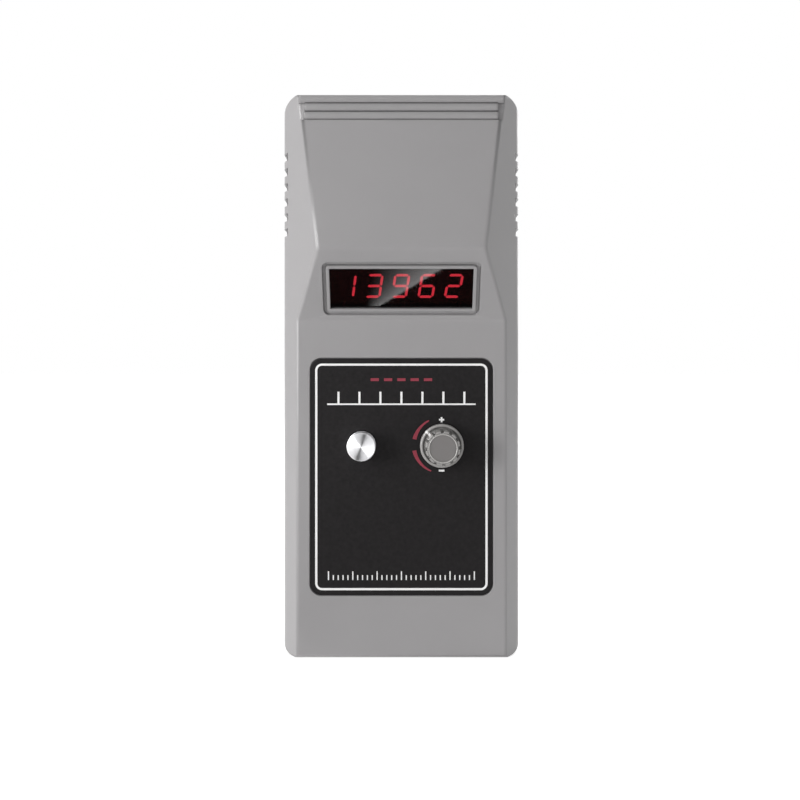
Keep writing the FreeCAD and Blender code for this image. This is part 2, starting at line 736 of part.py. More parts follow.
def side_slope_cut(body, side):
    """Lean one side of the front shell in, from the crease to beyond the ridge."""
    name = "left_slope" if side < 0 else "right_slope"
    section = new_sketch(body, name, "XY_Plane")
    beyond = "(Layout.ridge_depth + Sizes.wall)"
    edge = f"{side} * Sizes.case_width / 2"
    lean = f"({edge} - {side} * Layout.side_lean * ({beyond} - Sizes.crease_depth))"
    outside = f"{side} * (Sizes.case_width / 2 + Sizes.wall)"
    polygon(
        section,
        [
            (edge, "-Sizes.crease_depth"),
            (lean, f"-{beyond}"),
            (outside, f"-{beyond}"),
            (outside, "-Sizes.crease_depth"),
        ],
    )
    pocket(body, f"{name}_cut", section, Midplane=True)


def vents(body, front, length):
    """A row of slots through both side walls."""
    slot = new_sketch(body, "vent_slot", "YZ_Plane")
    rectangle(slot, f"({front}) + ({length}) / 2", "Layout.vent_start", length, "Sizes.vent_width")
    first = pocket(body, "vent", slot, Midplane=True)
    upwards = (slot, ["V_Axis"])
    run = "Sizes.vent_pitch * (Sizes.vent_count - 1)"
    linear_pattern(body, "vent_row", first, upwards, run, "Sizes.vent_count")


def case_screw_places():
    """The four case screws, as pairs of expressions in x and z."""
    low, high = "Sizes.boss_end_gap", "Sizes.case_height - Sizes.boss_end_gap"
    return [(f"{side} * Layout.screw_x", z) for z in (low, high) for side in (-1, 1)]


def board_screw_places():
    low = "Sizes.main_board_bottom + Sizes.board_screw_inset"
    high = "Layout.main_board_top - Sizes.board_screw_inset"
    return [(f"{side} * Layout.board_screw_x", z) for z in (low, high) for side in (-1, 1)]


def lamp_screw_places():
    low = "Layout.lamp_board_bottom + Sizes.board_screw_inset"
    high = "Layout.lamp_board_top - Sizes.board_screw_inset"
    return [(f"{side} * Layout.lamp_screw_x", z) for z in (low, high) for side in (-1, 1)]


def circles_sketch(body, name, places, radius, offset=None):
    sketch = new_sketch(body, name, "XZ_Plane", offset)
    for x, z in places:
        circle(sketch, x, z, radius)
    return sketch


def regulars_sketch(body, name, places, radius, offset=None, sides=6):
    sketch = new_sketch(body, name, "XZ_Plane", offset)
    for x, z in places:
        regular(sketch, x, z, radius, sides)
    return sketch


def boss_sketch(body):
    return regulars_sketch(body, "bosses", case_screw_places(), clear_of("Sizes.boss_radius", 8), sides=8)


def lens_opening(body):
    opening = new_sketch(body, "lens_opening", "XY_Plane", "Sizes.case_height")
    size = ("Layout.lens_width", "Sizes.lens_height", "Sizes.lens_radius")
    rounded_rectangle(opening, "0", "Sizes.lamp_y", *size)
    pocket(body, "lens_opening_cut", opening, "Sizes.wall")


def inlet_opening(body):
    opening = new_sketch(body, "inlet_opening", "XY_Plane", "Sizes.wall")
    width = "Sizes.inlet_width + 2 * Sizes.inlet_gap"
    height = "Sizes.inlet_height + 2 * Sizes.inlet_gap"
    rectangle(opening, "0", "0", width, height)
    pocket(body, "inlet_opening_cut", opening, "Sizes.wall")


def reflector_ledge(body, side, outer):
    """The ledge behind the reflector's flange, from beside the trough into the wall."""
    ledge = new_sketch(body, "reflector_ledge", "XY_Plane", "Layout.ledge_top")
    reach = "(Layout.reflector_height / 2 + Sizes.sheet + Sizes.ledge_gap)"
    inner = f"Sizes.lamp_y + {side} * {reach}"
    half = "Layout.lens_width / 2 + Sizes.lens_margin"
    polygon(ledge, [(f"-({half})", inner), (half, inner), (half, outer), (f"-({half})", outer)])
    pad(body, "reflector_ledge_pad", ledge, "Sizes.ledge_thickness", Reversed=True)


def grip_ribs(body):
    """Half-round ribs in a recess across the front at the lamp end; the top one runs edge to edge."""
    slope = "((Layout.ridge_depth - Layout.top_depth) / (Sizes.case_height - Layout.ridge_height))"
    recess = new_sketch(body, "rib_recess", "YZ_Plane")
    low = "Sizes.rib_top_gap + 2 * Sizes.rib_radius + Sizes.rib_pitch * (Sizes.rib_count - 1)"
    floor, above = "Sizes.rib_recess", "-Sizes.wall"
    corners = []
    for drop, sink in (("0", above), ("0", floor), (low, floor), (low, above)):
        level = f"-(Layout.top_depth + {slope} * ({drop}) - ({sink}))"
        corners.append((level, f"Sizes.case_height - ({drop})"))
    polygon(recess, corners)
    pocket(body, "rib_recess_cut", recess, Midplane=True)
    for index in range(round(sizes.rib_count)):
        drop = f"(Sizes.rib_radius + Sizes.rib_top_gap + {index} * Sizes.rib_pitch)"
        level = f"-(Layout.top_depth + {slope} * {drop} - Sizes.rib_recess)"
        rib = new_sketch(body, f"rib_{index + 1}", "YZ_Plane")
        circle(rib, level, f"Sizes.case_height - {drop}", "Sizes.rib_radius")
        inset = "Sizes.rib_inset" if index else "0"
        width = f"2 * (Layout.front_half - {inset} - Layout.side_lean * Sizes.top_rise)"
        pad(body, f"rib_{index + 1}_pad", rib, width, Midplane=True)


def readout_frame(body):
    """The groove and lip round the readout, its opening, and the filter's seat behind."""
    moat = tilted_sketch(body, "moat")
    lip, groove = "Sizes.lip_width", "(Sizes.lip_width + Sizes.moat_width)"
    for margin, radius in ((groove, "Sizes.moat_radius"), (lip, lip)):
        width, height = f"Sizes.window_width + 2 * {margin}", f"Sizes.window_height + 2 * {margin}"
        rounded_rectangle(moat, "0", "0", width, height, radius)
    pocket(body, "moat_cut", moat, "Sizes.moat_depth")
    opening = tilted_sketch(body, "readout_opening")
    rectangle(opening, "0", "0", "Sizes.window_width", "Sizes.window_height")
    pocket(body, "readout_opening_cut", opening, "Sizes.wall * 1.2")
    seat = tilted_sketch(body, "filter_seat", "Layout.filter_front")
    margin = "2 * Sizes.filter_margin"
    rectangle(seat, "0", "0", f"Sizes.window_width + {margin}", f"Sizes.window_height + {margin}")
    pocket(body, "filter_seat_cut", seat, "Sizes.filter_thickness")


def front_shell():
    body = new_body("front_shell")
    shell_blank(body, "Layout.ridge_depth", forward=True)
    side_profile_cut(body)
    side_slope_cut(body, -1)
    side_slope_cut(body, 1)
    round_edges(body, "creases", "Sizes.crease_radius", on_crease)
    hollow(body)
    round_edges(body, "ridge", "Sizes.ridge_radius", front_cross_edge(layout.ridge_height))
    round_edges(body, "foot", "Sizes.foot_radius", front_cross_edge(layout.foot_height))
    round_edges(body, "front_rim", "Sizes.front_edge_radius", on_front_rim)
    trim_corners(body)
    fill_corners(body)
    bite = "Sizes.crease_depth + Sizes.vent_bite"
    vents(body, f"-({bite})", f"{bite} - Sizes.vent_land")
    label = new_sketch(body, "label_recess", "XZ_Plane", "Sizes.front_depth")
    label_outline(label, "Sizes.label_gap")
    pocket(body, "label_recess_cut", label, "Sizes.label_thickness")
    round_edges(body, "label_bevel", "Sizes.label_edge", on_label_rim, "Chamfer")
    readout_frame(body)
    grip_ribs(body)
    holes = new_sketch(body, "control_holes", "XZ_Plane", "Sizes.front_depth")
    bushing_hole(holes, "Sizes.knob_x", "Layout.control_height")
    regular(holes, "Sizes.button_x", "Layout.control_height", clear_of("Layout.button_hole", 12), 12)
    pocket(body, "control_holes_cut", holes, "Sizes.wall")
    pad(body, "bosses_pad", boss_sketch(body), "Sizes.crease_depth + Sizes.wall * 0.8")
    places = board_screw_places()
    posts = regulars_sketch(body, "board_posts", places, "Sizes.board_post_radius", "Layout.board_face")
    pad(body, "board_posts_pad", posts, "Layout.mid_front - Layout.board_face")
    display_posts = tilted_sketch(body, "display_posts", "Layout.display_board_face")
    for side in (-1, 1):
        regular(display_posts, f"{side} * Layout.display_screw_x", "0", "Sizes.display_post_radius")
    pad(body, "display_posts_pad", display_posts, "Layout.display_board_face - Sizes.wall / 2")
    reflector_ledge(body, -1, "-(Layout.top_depth - Sizes.wall / 2)")
    lens_opening(body)
    inlet_opening(body)
    pilots = regulars_sketch(body, "case_pilots", case_screw_places(), "Sizes.case_screw_radius")
    pocket(body, "case_pilots_cut", pilots, "Sizes.case_screw_bite + Sizes.wall", Reversed=True)
    small = regulars_sketch(body, "board_pilots", places, "Sizes.small_screw_radius", "Layout.board_face")
    pocket(body, "board_pilots_cut", small, "Sizes.small_screw_length", Reversed=True)
    display_pilots = tilted_sketch(body, "display_pilots", "Layout.display_board_face")
    for side in (-1, 1):
        regular(display_pilots, f"{side} * Layout.display_screw_x", "0", "Sizes.small_screw_radius")
    pocket(body, "display_pilots_cut", display_pilots, "Sizes.small_screw_length", Reversed=True)
    round_edges(body, "seam", "Sizes.seam_chamfer", on_seam, "Chamfer")


def back_shell():
    body = new_body("back_shell")
    shell_blank(body, "Sizes.back_depth", forward=False)

    def on_back(edge):
        box = edge.BoundBox
        return box.YLength < 1e-6 and near(box.YMin, sizes.back_depth)

    round_edges(body, "back_edges", "Sizes.back_edge_radius", on_back)
    trim_corners(body)
    cavity = new_sketch(body, "cavity", "XZ_Plane")
    inside = "Sizes.case_height - 2 * Sizes.wall"
    radii = ("Sizes.corner_radius - Sizes.wall", "Sizes.foot_corner_radius / 4")
    rounded_rectangle(cavity, "0", "Sizes.case_height / 2", "2 * Layout.inner_half", inside, *radii)
    pocket(body, "cavity_cut", cavity, "Layout.inner_back")
    vents(body, "Sizes.vent_land", "Sizes.vent_back_length")
    pad(body, "bosses_pad", boss_sketch(body), "Sizes.back_depth - Sizes.wall / 2", Reversed=True)
    places = lamp_screw_places()
    root = "-Layout.inner_back - Sizes.wall / 2"
    posts = regulars_sketch(body, "lamp_posts", places, "Sizes.display_post_radius", root)
    pad(body, "lamp_posts_pad", posts, "Sizes.lamp_post_length + Sizes.wall / 2")
    reflector_ledge(body, 1, "Sizes.back_depth - Sizes.wall / 2")
    lens_opening(body)
    inlet_opening(body)
    hole = "Sizes.case_screw_radius + Sizes.screw_hole_gap"
    holes = regulars_sketch(body, "screw_holes", case_screw_places(), hole)
    pocket(body, "screw_holes_cut", holes)
    well = "Sizes.case_head_radius + Sizes.head_recess_gap"
    wells = circles_sketch(body, "head_wells", case_screw_places(), well, "-Sizes.back_depth")
    pocket(body, "head_wells_cut", wells, "Sizes.back_depth - Sizes.case_screw_seat", Reversed=True)
    post_end = "-(Layout.inner_back - Sizes.lamp_post_length)"
    small = regulars_sketch(body, "lamp_pilots", places, "Sizes.small_screw_radius", post_end)
    pocket(body, "lamp_pilots_cut", small, "Sizes.small_screw_length")
    round_edges(body, "seam", "Sizes.seam_chamfer", on_seam, "Chamfer")


def screw_set(name, places, head_radius, head_height, shank_radius, shank_length, seat, direction):
    """Screws side by side; seat is the depth of the heads' undersides along -Y."""
    body = new_body(name)
    heads = regulars_sketch(body, "heads", places, head_radius, seat)
    pad(body, "heads_pad", heads, head_height, Reversed=direction > 0)
    shanks = regulars_sketch(body, "shanks", places, shank_radius, seat)
    pad(body, "shanks_pad", shanks, shank_length, Reversed=direction < 0)


def case_screws():
    screw_set(
        "case_screws",
        case_screw_places(),
        "Sizes.case_head_radius",
        "Sizes.case_head_height",
        "Sizes.case_screw_radius",
        "Sizes.case_screw_seat + Sizes.case_screw_bite",
        "-Sizes.case_screw_seat",
        1,
    )


# ---------------------------------------------------------------- control panel


def label_outline(sketch, margin):
    rounded_rectangle(
        sketch,
        "0",
        "Sizes.label_bottom + Layout.label_height / 2",
        f"Layout.label_width + 2 * ({margin})",
        f"Layout.label_height + 2 * ({margin})",
        "Sizes.label_radius",
    )


def bushing_hole(sketch, x="0", y="0"):
    """Twelve flats round the potentiometer's bushing, out of sight under the knob."""
    regular(sketch, x, y, clear_of("Sizes.bushing_diameter / 2 + Sizes.panel_hole_gap", 12), 12)


def bushing_outline(sketch):
    """The thread, as sixteen flats that the nut grips."""
    regular(sketch, "0", "0", "Sizes.bushing_diameter / 2", 16)


def label_plate():
    body = new_body("label_plate")
    outline = new_sketch(body, "outline", "XZ_Plane", "Sizes.front_depth")
    label_outline(outline, "0")
    bushing_hole(outline, "Sizes.knob_x", "Layout.control_height")
    circle(outline, "Sizes.button_x", "Layout.control_height", "Layout.button_hole")
    pad(body, "plate", outline, "Sizes.label_thickness", Reversed=True)


def at_knob(thing, depth="0"):
    """Stand a piece on the panel at the knob's axis, its own +Z facing out."""
    place(thing, "Sizes.knob_x", f"-Sizes.front_depth + ({depth})", "Layout.control_height", "Layout.upright")


def rate_control():
    """The potentiometer with its bushing, washer and nut, and the shaft that turns in it."""
    bore = clear_of("Sizes.shaft_diameter / 2 + Sizes.shaft_gap", 12)
    body = new_body("pot_body")
    can = new_sketch(body, "can", offset="-Sizes.wall")
    regular(can, "0", "0", "Sizes.pot_diameter / 2", 24)
    pad(body, "can_pad", can, "Sizes.main_board_gap", Reversed=True)
    hole = new_sketch(body, "hole", offset="-Sizes.wall")
    regular(hole, "0", "0", bore, 12)
    pocket(body, "hole_cut", hole, "Sizes.main_board_gap - Sizes.board_thickness")
    at_knob(body)

    body = new_body("pot_bushing")
    ring = new_sketch(body, "ring", offset="-Sizes.wall")
    bushing_outline(ring)
    regular(ring, "0", "0", bore, 12)
    pad(body, "ring_pad", ring, "Sizes.bushing_length")
    at_knob(body)

    body = new_body("pot_washer")
    ring = new_sketch(body, "ring")
    regular(ring, "0", "0", "Sizes.washer_diameter / 2", 12)
    bushing_hole(ring)
    pad(body, "ring_pad", ring, "Sizes.washer_thickness")
    at_knob(body)

    body = new_body("pot_nut")
    hexagon = new_sketch(body, "hexagon", offset="Sizes.washer_thickness")
    corner = "(Sizes.nut_flats / sqrt(3))"
    polygon(hexagon, [(f"{corner} * cos({60 * i} deg)", f"{corner} * sin({60 * i} deg)") for i in range(6)])
    bushing_outline(hexagon)
    pad(body, "nut_pad", hexagon, "Sizes.nut_thickness")
    at_knob(body)

    body = new_body("pot_shaft")
    inside = "(Sizes.wall + Sizes.main_board_gap - 2 * Sizes.board_thickness)"
    section = new_sketch(body, "section", offset=f"-{inside}")
    circle(section, "0", "0", "Sizes.shaft_diameter / 2")
    pad(body, "shaft_pad", section, f"Sizes.shaft_length + {inside}")
    at_knob(body)


def rate_knob():
    """Skirted knob with a fluted barrel, hollow over the bushing and its nut, with a cap in its face."""
    body = new_body("rate_knob")
    rim = "Sizes.knob_diameter / 2"
    top = "Sizes.knob_height"
    skirt_top = "(Sizes.knob_gap + Sizes.skirt_height)"
    hollow_top = "(Sizes.washer_thickness + Sizes.nut_thickness + Sizes.knob_gap / 2)"
    bushing_top = "(Sizes.bushing_length - Sizes.wall + Sizes.knob_gap / 2)"
    seat = "(Sizes.knob_height - Sizes.cap_thickness + Sizes.cap_proud)"
    profile = new_sketch(body, "profile", "XZ_Plane")
    polygon(
        profile,
        [
            ("0", "Sizes.knob_gap"),
            (rim, "Sizes.knob_gap"),
            (rim, skirt_top),
            ("Sizes.barrel_radius", skirt_top),
            ("Sizes.barrel_radius", top),
            ("Sizes.cap_radius", top),
            ("Sizes.cap_radius", seat),
            ("0", seat),
        ],
    )
    revolve(body, "turned", profile)
    for name, radius, ceiling in (
        ("nut_room", f"({rim} - Sizes.skirt_wall)", hollow_top),
        ("bushing_room", clear_of("Sizes.bushing_diameter / 2 + 2 * Sizes.panel_hole_gap", 12), bushing_top),
    ):
        room = new_sketch(body, name, offset="Sizes.knob_gap")
        regular(room, "0", "0", radius, 12)
        pocket(body, f"{name}_cut", room, f"{ceiling} - Sizes.knob_gap", Reversed=True)
    bore = new_sketch(body, "shaft_bore", offset="Sizes.knob_gap")
    circle(bore, "0", "0", "Sizes.shaft_diameter / 2")
    pocket(body, "shaft_bore_cut", bore, "Sizes.shaft_length - Sizes.knob_gap", Reversed=True)
    flute = new_sketch(body, "flute", offset=top)
    regular(flute, "Sizes.barrel_radius + Sizes.flute_offset", "0", "Sizes.flute_radius")
    first = pocket(body, "flute_cut", flute, f"{top} - {skirt_top}")
    around = body.newObject("PartDesign::PolarPattern", "flutes")
    around.Originals = [first]
    around.Axis = (flute, ["N_Axis"])
    around.Angle = 360
    around.setExpression("Occurrences", "Sizes.flute_count")
    body.Tip = around
    doc.recompute()
    at_knob(body)

    body = new_body("knob_cap")
    disc = new_sketch(body, "disc", offset=seat)
    circle(disc, "0", "0", "Sizes.cap_radius")
    pad(body, "disc_pad", disc, "Sizes.cap_thickness")

    def on_face(edge):
        return near(edge.BoundBox.ZMin, sizes.knob_height + sizes.cap_proud, 0.01)

    round_edges(body, "disc_edge", "Sizes.cap_proud / 2", on_face, "Chamfer")
    at_knob(body)


def at_button(thing):
    place(thing, "Sizes.button_x", "-Sizes.front_depth", "Layout.control_height", "Layout.upright")


def power_button():
    """Turned button on the square plunger of a push switch."""
    switch_front = "(Sizes.button_tail + Sizes.button_travel + Sizes.button_stop_gap)"
    radius = "Sizes.button_diameter / 2"
    body = new_body("power_button")
    profile = new_sketch(body, "profile", "XZ_Plane")
    polygon(
        profile,
        [
            ("0", "-Sizes.button_tail"),
            (radius, "-Sizes.button_tail"),
            (radius, "Sizes.button_proud - Sizes.button_chamfer"),
            (f"{radius} - Sizes.button_chamfer", "Sizes.button_proud"),
            ("0", "Sizes.button_proud"),
        ],
    )
    revolve(body, "turned", profile)
    socket = new_sketch(body, "socket", offset="-Sizes.button_tail")
    rectangle(socket, "0", "0", "Sizes.plunger_width", "Sizes.plunger_width")
    pocket(body, "socket_cut", socket, "Sizes.plunger_grip", Reversed=True)
    at_button(body)

    depth = f"(Sizes.wall + Sizes.main_board_gap - {switch_front})"
    body = new_body("switch_body")
    base = new_sketch(body, "base", offset=f"-{switch_front}")
    rectangle(base, "0", "0", "Sizes.switch_width", "Sizes.switch_width")
    pad(body, "base_pad", base, depth, Reversed=True)
    slot = new_sketch(body, "slot", offset=f"-{switch_front}")
    width = "Sizes.plunger_width + 2 * Sizes.plunger_gap"
    rectangle(slot, "0", "0", width, width)
    pocket(body, "slot_cut", slot, f"{depth} - Sizes.switch_floor")
    at_button(body)

    body = new_body("switch_plunger")
    section = new_sketch(body, "section", offset="-Sizes.button_tail + Sizes.plunger_grip")
    rectangle(section, "0", "0", "Sizes.plunger_width", "Sizes.plunger_width")
    reach = f"{switch_front} + {depth} - Sizes.switch_floor - Sizes.button_travel - Sizes.plunger_rest"
    pad(body, "plunger_pad", section, f"Sizes.plunger_grip - Sizes.button_tail + {reach}", Reversed=True)
    at_button(body)


# ---------------------------------------------------------------- readout


def at_window(thing, x="0"):
    """Put a piece behind the readout opening, its own +Z along the slope's outward normal."""
    place(thing, x, "Layout.window_y", "Layout.window_z", "Layout.display_upright")


def display_filter():
    body = new_body("display_filter")
    sheet_ = new_sketch(body, "sheet", offset="-Layout.filter_front")
    margin = "2 * (Sizes.filter_margin - Sizes.label_gap)"
    rectangle(sheet_, "0", "0", f"Sizes.window_width + {margin}", f"Sizes.window_height + {margin}")
    pad(body, "sheet_pad", sheet_, "Sizes.filter_thickness", Reversed=True)
    at_window(body)


def segment_bars():
    """Middle, size and direction of the seven bars, in expressions along the upright character."""
    w, h = "Sizes.character_width / 2", "Sizes.character_height / 2"
    inset = "Sizes.segment_width / 2"
    across = f"2 * ({w} - Sizes.segment_width - Sizes.segment_gap)"
    upright = f"{h} - Sizes.segment_width - 2 * Sizes.segment_gap"
    side, level = f"({w} - {inset})", f"({h} - {inset})"
    bars = [("0", f"{sign} * {level}", across, "Sizes.segment_width") for sign in (-1, 0, 1)]
    for sx in (-1, 1):
        for sy in (-1, 1):
            bars.append((f"{sx} * {side}", f"{sy} * {level} / 2", "Sizes.segment_width", upright))
    return bars


def readout_digits():
    """Seven-segment modules side by side; each bar is a light well that leans with the character."""
    lean = "tan(Sizes.character_lean_degrees * 1 deg)"
    count = round(sizes.digit_count)
    for index in range(count):
        body = new_body(f"digit_{index + 1}")
        face = new_sketch(body, "face", offset="-Layout.digit_face")
        rectangle(face, "0", "0", "Sizes.digit_width", "Sizes.digit_height")
        pad(body, "module", face, "Sizes.digit_depth", Reversed=True)
        wells = new_sketch(body, "wells", offset="-Layout.digit_face")
        for x, y, width, height in segment_bars():
            corners = []
            for sx, sy in ((-1, -1), (1, -1), (1, 1), (-1, 1)):
                cy = f"(({y}) + {sy} * ({height}) / 2)"
                corners.append((f"({x}) + {sx} * ({width}) / 2 + {lean} * {cy}", cy))
            polygon(wells, corners)
        pocket(body, "wells_cut", wells, "Sizes.segment_depth")
        at_window(body, f"({index} - (Sizes.digit_count - 1) / 2) * Sizes.digit_width")


def display_board():
    body = new_body("display_board")
    outline = new_sketch(body, "outline", offset="-Layout.display_board_face")
    rectangle(outline, "0", "0", "Layout.display_board_width", "Sizes.display_board_height")
    hole = "Sizes.small_screw_radius + Sizes.screw_hole_gap"
    for side in (-1, 1):
        regular(outline, f"{side} * Layout.display_screw_x", "0", hole)
    pad(body, "board", outline, "Sizes.board_thickness", Reversed=True)
    at_window(body)

    body = new_body("display_screws")
    back = "-(Layout.display_board_face + Sizes.board_thickness)"
    heads = new_sketch(body, "heads", offset=back)
    shanks = new_sketch(body, "shanks", offset=back)
    for side in (-1, 1):
        regular(heads, f"{side} * Layout.display_screw_x", "0", "Sizes.small_head_radius")
        regular(shanks, f"{side} * Layout.display_screw_x", "0", "Sizes.small_screw_radius")
    pad(body, "heads_pad", heads, "Sizes.small_head_height", Reversed=True)
    pad(body, "shanks_pad", shanks, "Sizes.small_screw_length + Sizes.board_thickness - Sizes.screw_hole_gap")
    at_window(body)


# ---------------------------------------------------------------- boards and what stands on them


def circuit_board(name, width, bottom, top, back, places):
    """A board parallel to the joint plane; back is the depth of its rear face along -Y."""
    body = new_body(name)
    outline = new_sketch(body, "outline", "XZ_Plane", back)
    rectangle(outline, "0", f"({bottom} + {top}) / 2", width, f"{top} - {bottom}")
    for x, z in places:
        regular(outline, x, z, "Sizes.small_screw_radius + Sizes.screw_hole_gap")
    pad(body, "board", outline, "Sizes.board_thickness")


def boards():
    circuit_board(
        "main_board",
        "2 * Layout.board_half",
        "Sizes.main_board_bottom",
        "Layout.main_board_top",
        "Layout.board_back",
        board_screw_places(),
    )
    circuit_board(
        "lamp_board",
        "2 * Layout.lamp_board_half",
        "Layout.lamp_board_bottom",
        "Layout.lamp_board_top",
        "-(Layout.lamp_board_face + Sizes.board_thickness)",
        lamp_screw_places(),
    )
    length = "Sizes.small_screw_length + Sizes.board_thickness - Sizes.screw_hole_gap"
    small = ("Sizes.small_head_radius", "Sizes.small_head_height", "Sizes.small_screw_radius", length)
    screw_set("board_screws", board_screw_places(), *small, "Layout.board_back", 1)
    screw_set("lamp_board_screws", lamp_screw_places(), *small, "-Layout.lamp_board_face", -1)


def on_board(name, x, z, width, height, depth):
    """A block standing on the back of the main board, given by its middle."""
    left, low = f"({x}) - ({width}) / 2", f"({z}) - ({height}) / 2"
    return block(name, left, "-Layout.board_back", low, width, depth, height)


def on_lamp_board(name, x, z, width, height, depth):
    """A block standing on the front of the lamp board, given by its middle."""
    left, low = f"({x}) - ({width}) / 2", f"({z}) - ({height}) / 2"
    return block(name, left, f"Layout.lamp_board_face - ({depth})", low, width, depth, height)


def control_chip():
    """A long chip with a row of legs down each side."""
    x, z = "Sizes.chip_x", "Layout.chip_z"
    pieces = [on_board("chip_case", x, z, "Sizes.chip_length", "Sizes.chip_width", "Sizes.chip_height")]
    for row in (-1, 1):
        for index in range(round(sizes.chip_pins)):
            leg_x = f"{x} + Sizes.pin_pitch * ({index} - (Sizes.chip_pins - 1) / 2)"
            leg_z = f"{z} + {row} * Sizes.chip_width / 2"
            leg = ("Sizes.leg_width", "Sizes.leg_thickness", "Sizes.leg_length")
            pieces.append(on_board("chip_leg", leg_x, leg_z, *leg))
    keep("control_chip", join("control_chip", pieces))


def transformer():
    """A laminated core standing clear of the board, with the coil through its window."""
    place_ = ("-(Layout.board_half - Sizes.transformer_inset)", "Layout.row_z")
    core = on_board("core_block", *place_, "Sizes.core_width", "Sizes.core_height", "Sizes.core_depth")
    core.setExpression(".Placement.Base.y", "-Layout.board_back + Sizes.core_lift")
    coil = ("Sizes.coil_width", "Sizes.coil_height", "Sizes.coil_depth")
    opening = on_board("core_opening", *place_, *coil)
    keep("transformer_core", cut("transformer_core", core, opening))
    keep("transformer_coil", on_board("transformer_coil", *place_, *coil))


def fuse():
    """Glass fuse between two spring clips."""
    start = "-(Layout.board_half - Sizes.fuse_inset)"
    far = f"{start} + Sizes.fuse_length - Sizes.fuse_cap_length"
    y, z = "-Layout.board_back + Sizes.fuse_height", "Layout.fuse_z"
    length = "Sizes.fuse_length - 2 * Sizes.fuse_cap_length"
    glass_start = f"{start} + Sizes.fuse_cap_length"
    glass = rod("fuse_glass", glass_start, y, z, "Sizes.fuse_glass_radius", length, ALONG_X)
    keep("fuse_glass", glass)
    caps, clips = [], []
    for index, x in enumerate((start, far), start=1):
        cap = ("Sizes.fuse_cap_radius", "Sizes.fuse_cap_length", 8, ALONG_X)
        caps.append(prism(f"fuse_cap_{index}", x, y, z, *cap))
        bed = prism(f"clip_bed_{index}", x, y, z, *cap)
        clip = ("Sizes.clip_length", "Sizes.clip_width", "Sizes.fuse_height + Sizes.fuse_cap_radius / 2")
        cup = on_board(f"clip_cup_{index}", f"{x} + Sizes.fuse_cap_length / 2", z, *clip)
        clips.append(cut(f"fuse_clip_{index}", cup, bed))
    keep("fuse_caps", join("fuse_caps", caps, "Part::Compound"))
    keep("fuse_clips", join("fuse_clips", clips, "Part::Compound"))


def main_board_pieces():
    """Transformer, reservoir capacitor, regulator, fuse, crystal and control chip."""
    transformer()
    spot = ("Sizes.logic_capacitor_x", "-Layout.board_back", "Layout.row_z")
    can = ("Sizes.logic_capacitor_radius", "Sizes.logic_capacitor_length", ALONG_Y)
    keep("logic_capacitor", rod("logic_capacitor", *spot, *can))
    x = "Layout.board_half - Sizes.regulator_inset"
    width, tab = "Sizes.regulator_width", "Sizes.regulator_tab"
    tab_block = on_board("regulator_tab", x, "Layout.row_z", width, tab, "Sizes.regulator_tab_height")
    front = f"Layout.row_z + ({tab} + Sizes.regulator_depth) / 2"
    size = (width, "Sizes.regulator_depth", "Sizes.regulator_height")
    moulding = on_board("regulator_moulding", x, front, *size)
    keep("regulator", join("regulator", [tab_block, moulding]))
    x = "-(Layout.board_half - Sizes.crystal_inset)"
    can = ("Sizes.crystal_length", "Sizes.crystal_width", "Sizes.crystal_height")
    keep("quartz_crystal", on_board("quartz_crystal", x, "Layout.chip_z", *can))
    control_chip()
    fuse()


def lamp_board_pieces():
    """Flash capacitor, trigger coil and charging resistor."""
    length = "Sizes.capacitor_length"
    y = "Layout.lamp_board_face - Sizes.capacitor_radius"
    z = "Layout.lamp_board_bottom + Sizes.capacitor_rise"
    capacitor = rod("flash_capacitor", f"-{length} / 2", y, z, "Sizes.capacitor_radius", length, ALONG_X)
    keep("flash_capacitor", capacitor)
    width, level = "Sizes.trigger_coil_width", "Layout.trigger_coil_z"
    size = (width, width, "Sizes.trigger_coil_depth")
    keep("trigger_coil", on_lamp_board("trigger_coil", "Layout.trigger_coil_x", level, *size))
    size = ("Sizes.resistor_length", "Sizes.resistor_width", "Sizes.resistor_width")
    keep("charging_resistor", on_lamp_board("charging_resistor", "Sizes.resistor_x", level, *size))


# ---------------------------------------------------------------- lamp


def lamp_window():
    """Clear window: a flange behind the end wall and a land that fills the opening."""
    body = new_body("lamp_window")
    flange = new_sketch(body, "flange", "XY_Plane", "Layout.lens_back")
    rectangle(flange, "0", "Sizes.lamp_y", "Layout.flange_width", "Layout.flange_height")
    pad(body, "flange_pad", flange, "Sizes.lens_thickness")
    land = new_sketch(body, "land", "XY_Plane", "Layout.lens_top")
    gap = "2 * Sizes.lens_gap"
    rounded_rectangle(
        land,
        "0",
        "Sizes.lamp_y",
        f"Layout.lens_width - {gap}",
        f"Sizes.lens_height - {gap}",
        "Sizes.lens_radius - Sizes.lens_gap",
    )
    pad(body, "land_pad", land, "Sizes.wall - Sizes.lens_gap * 2")


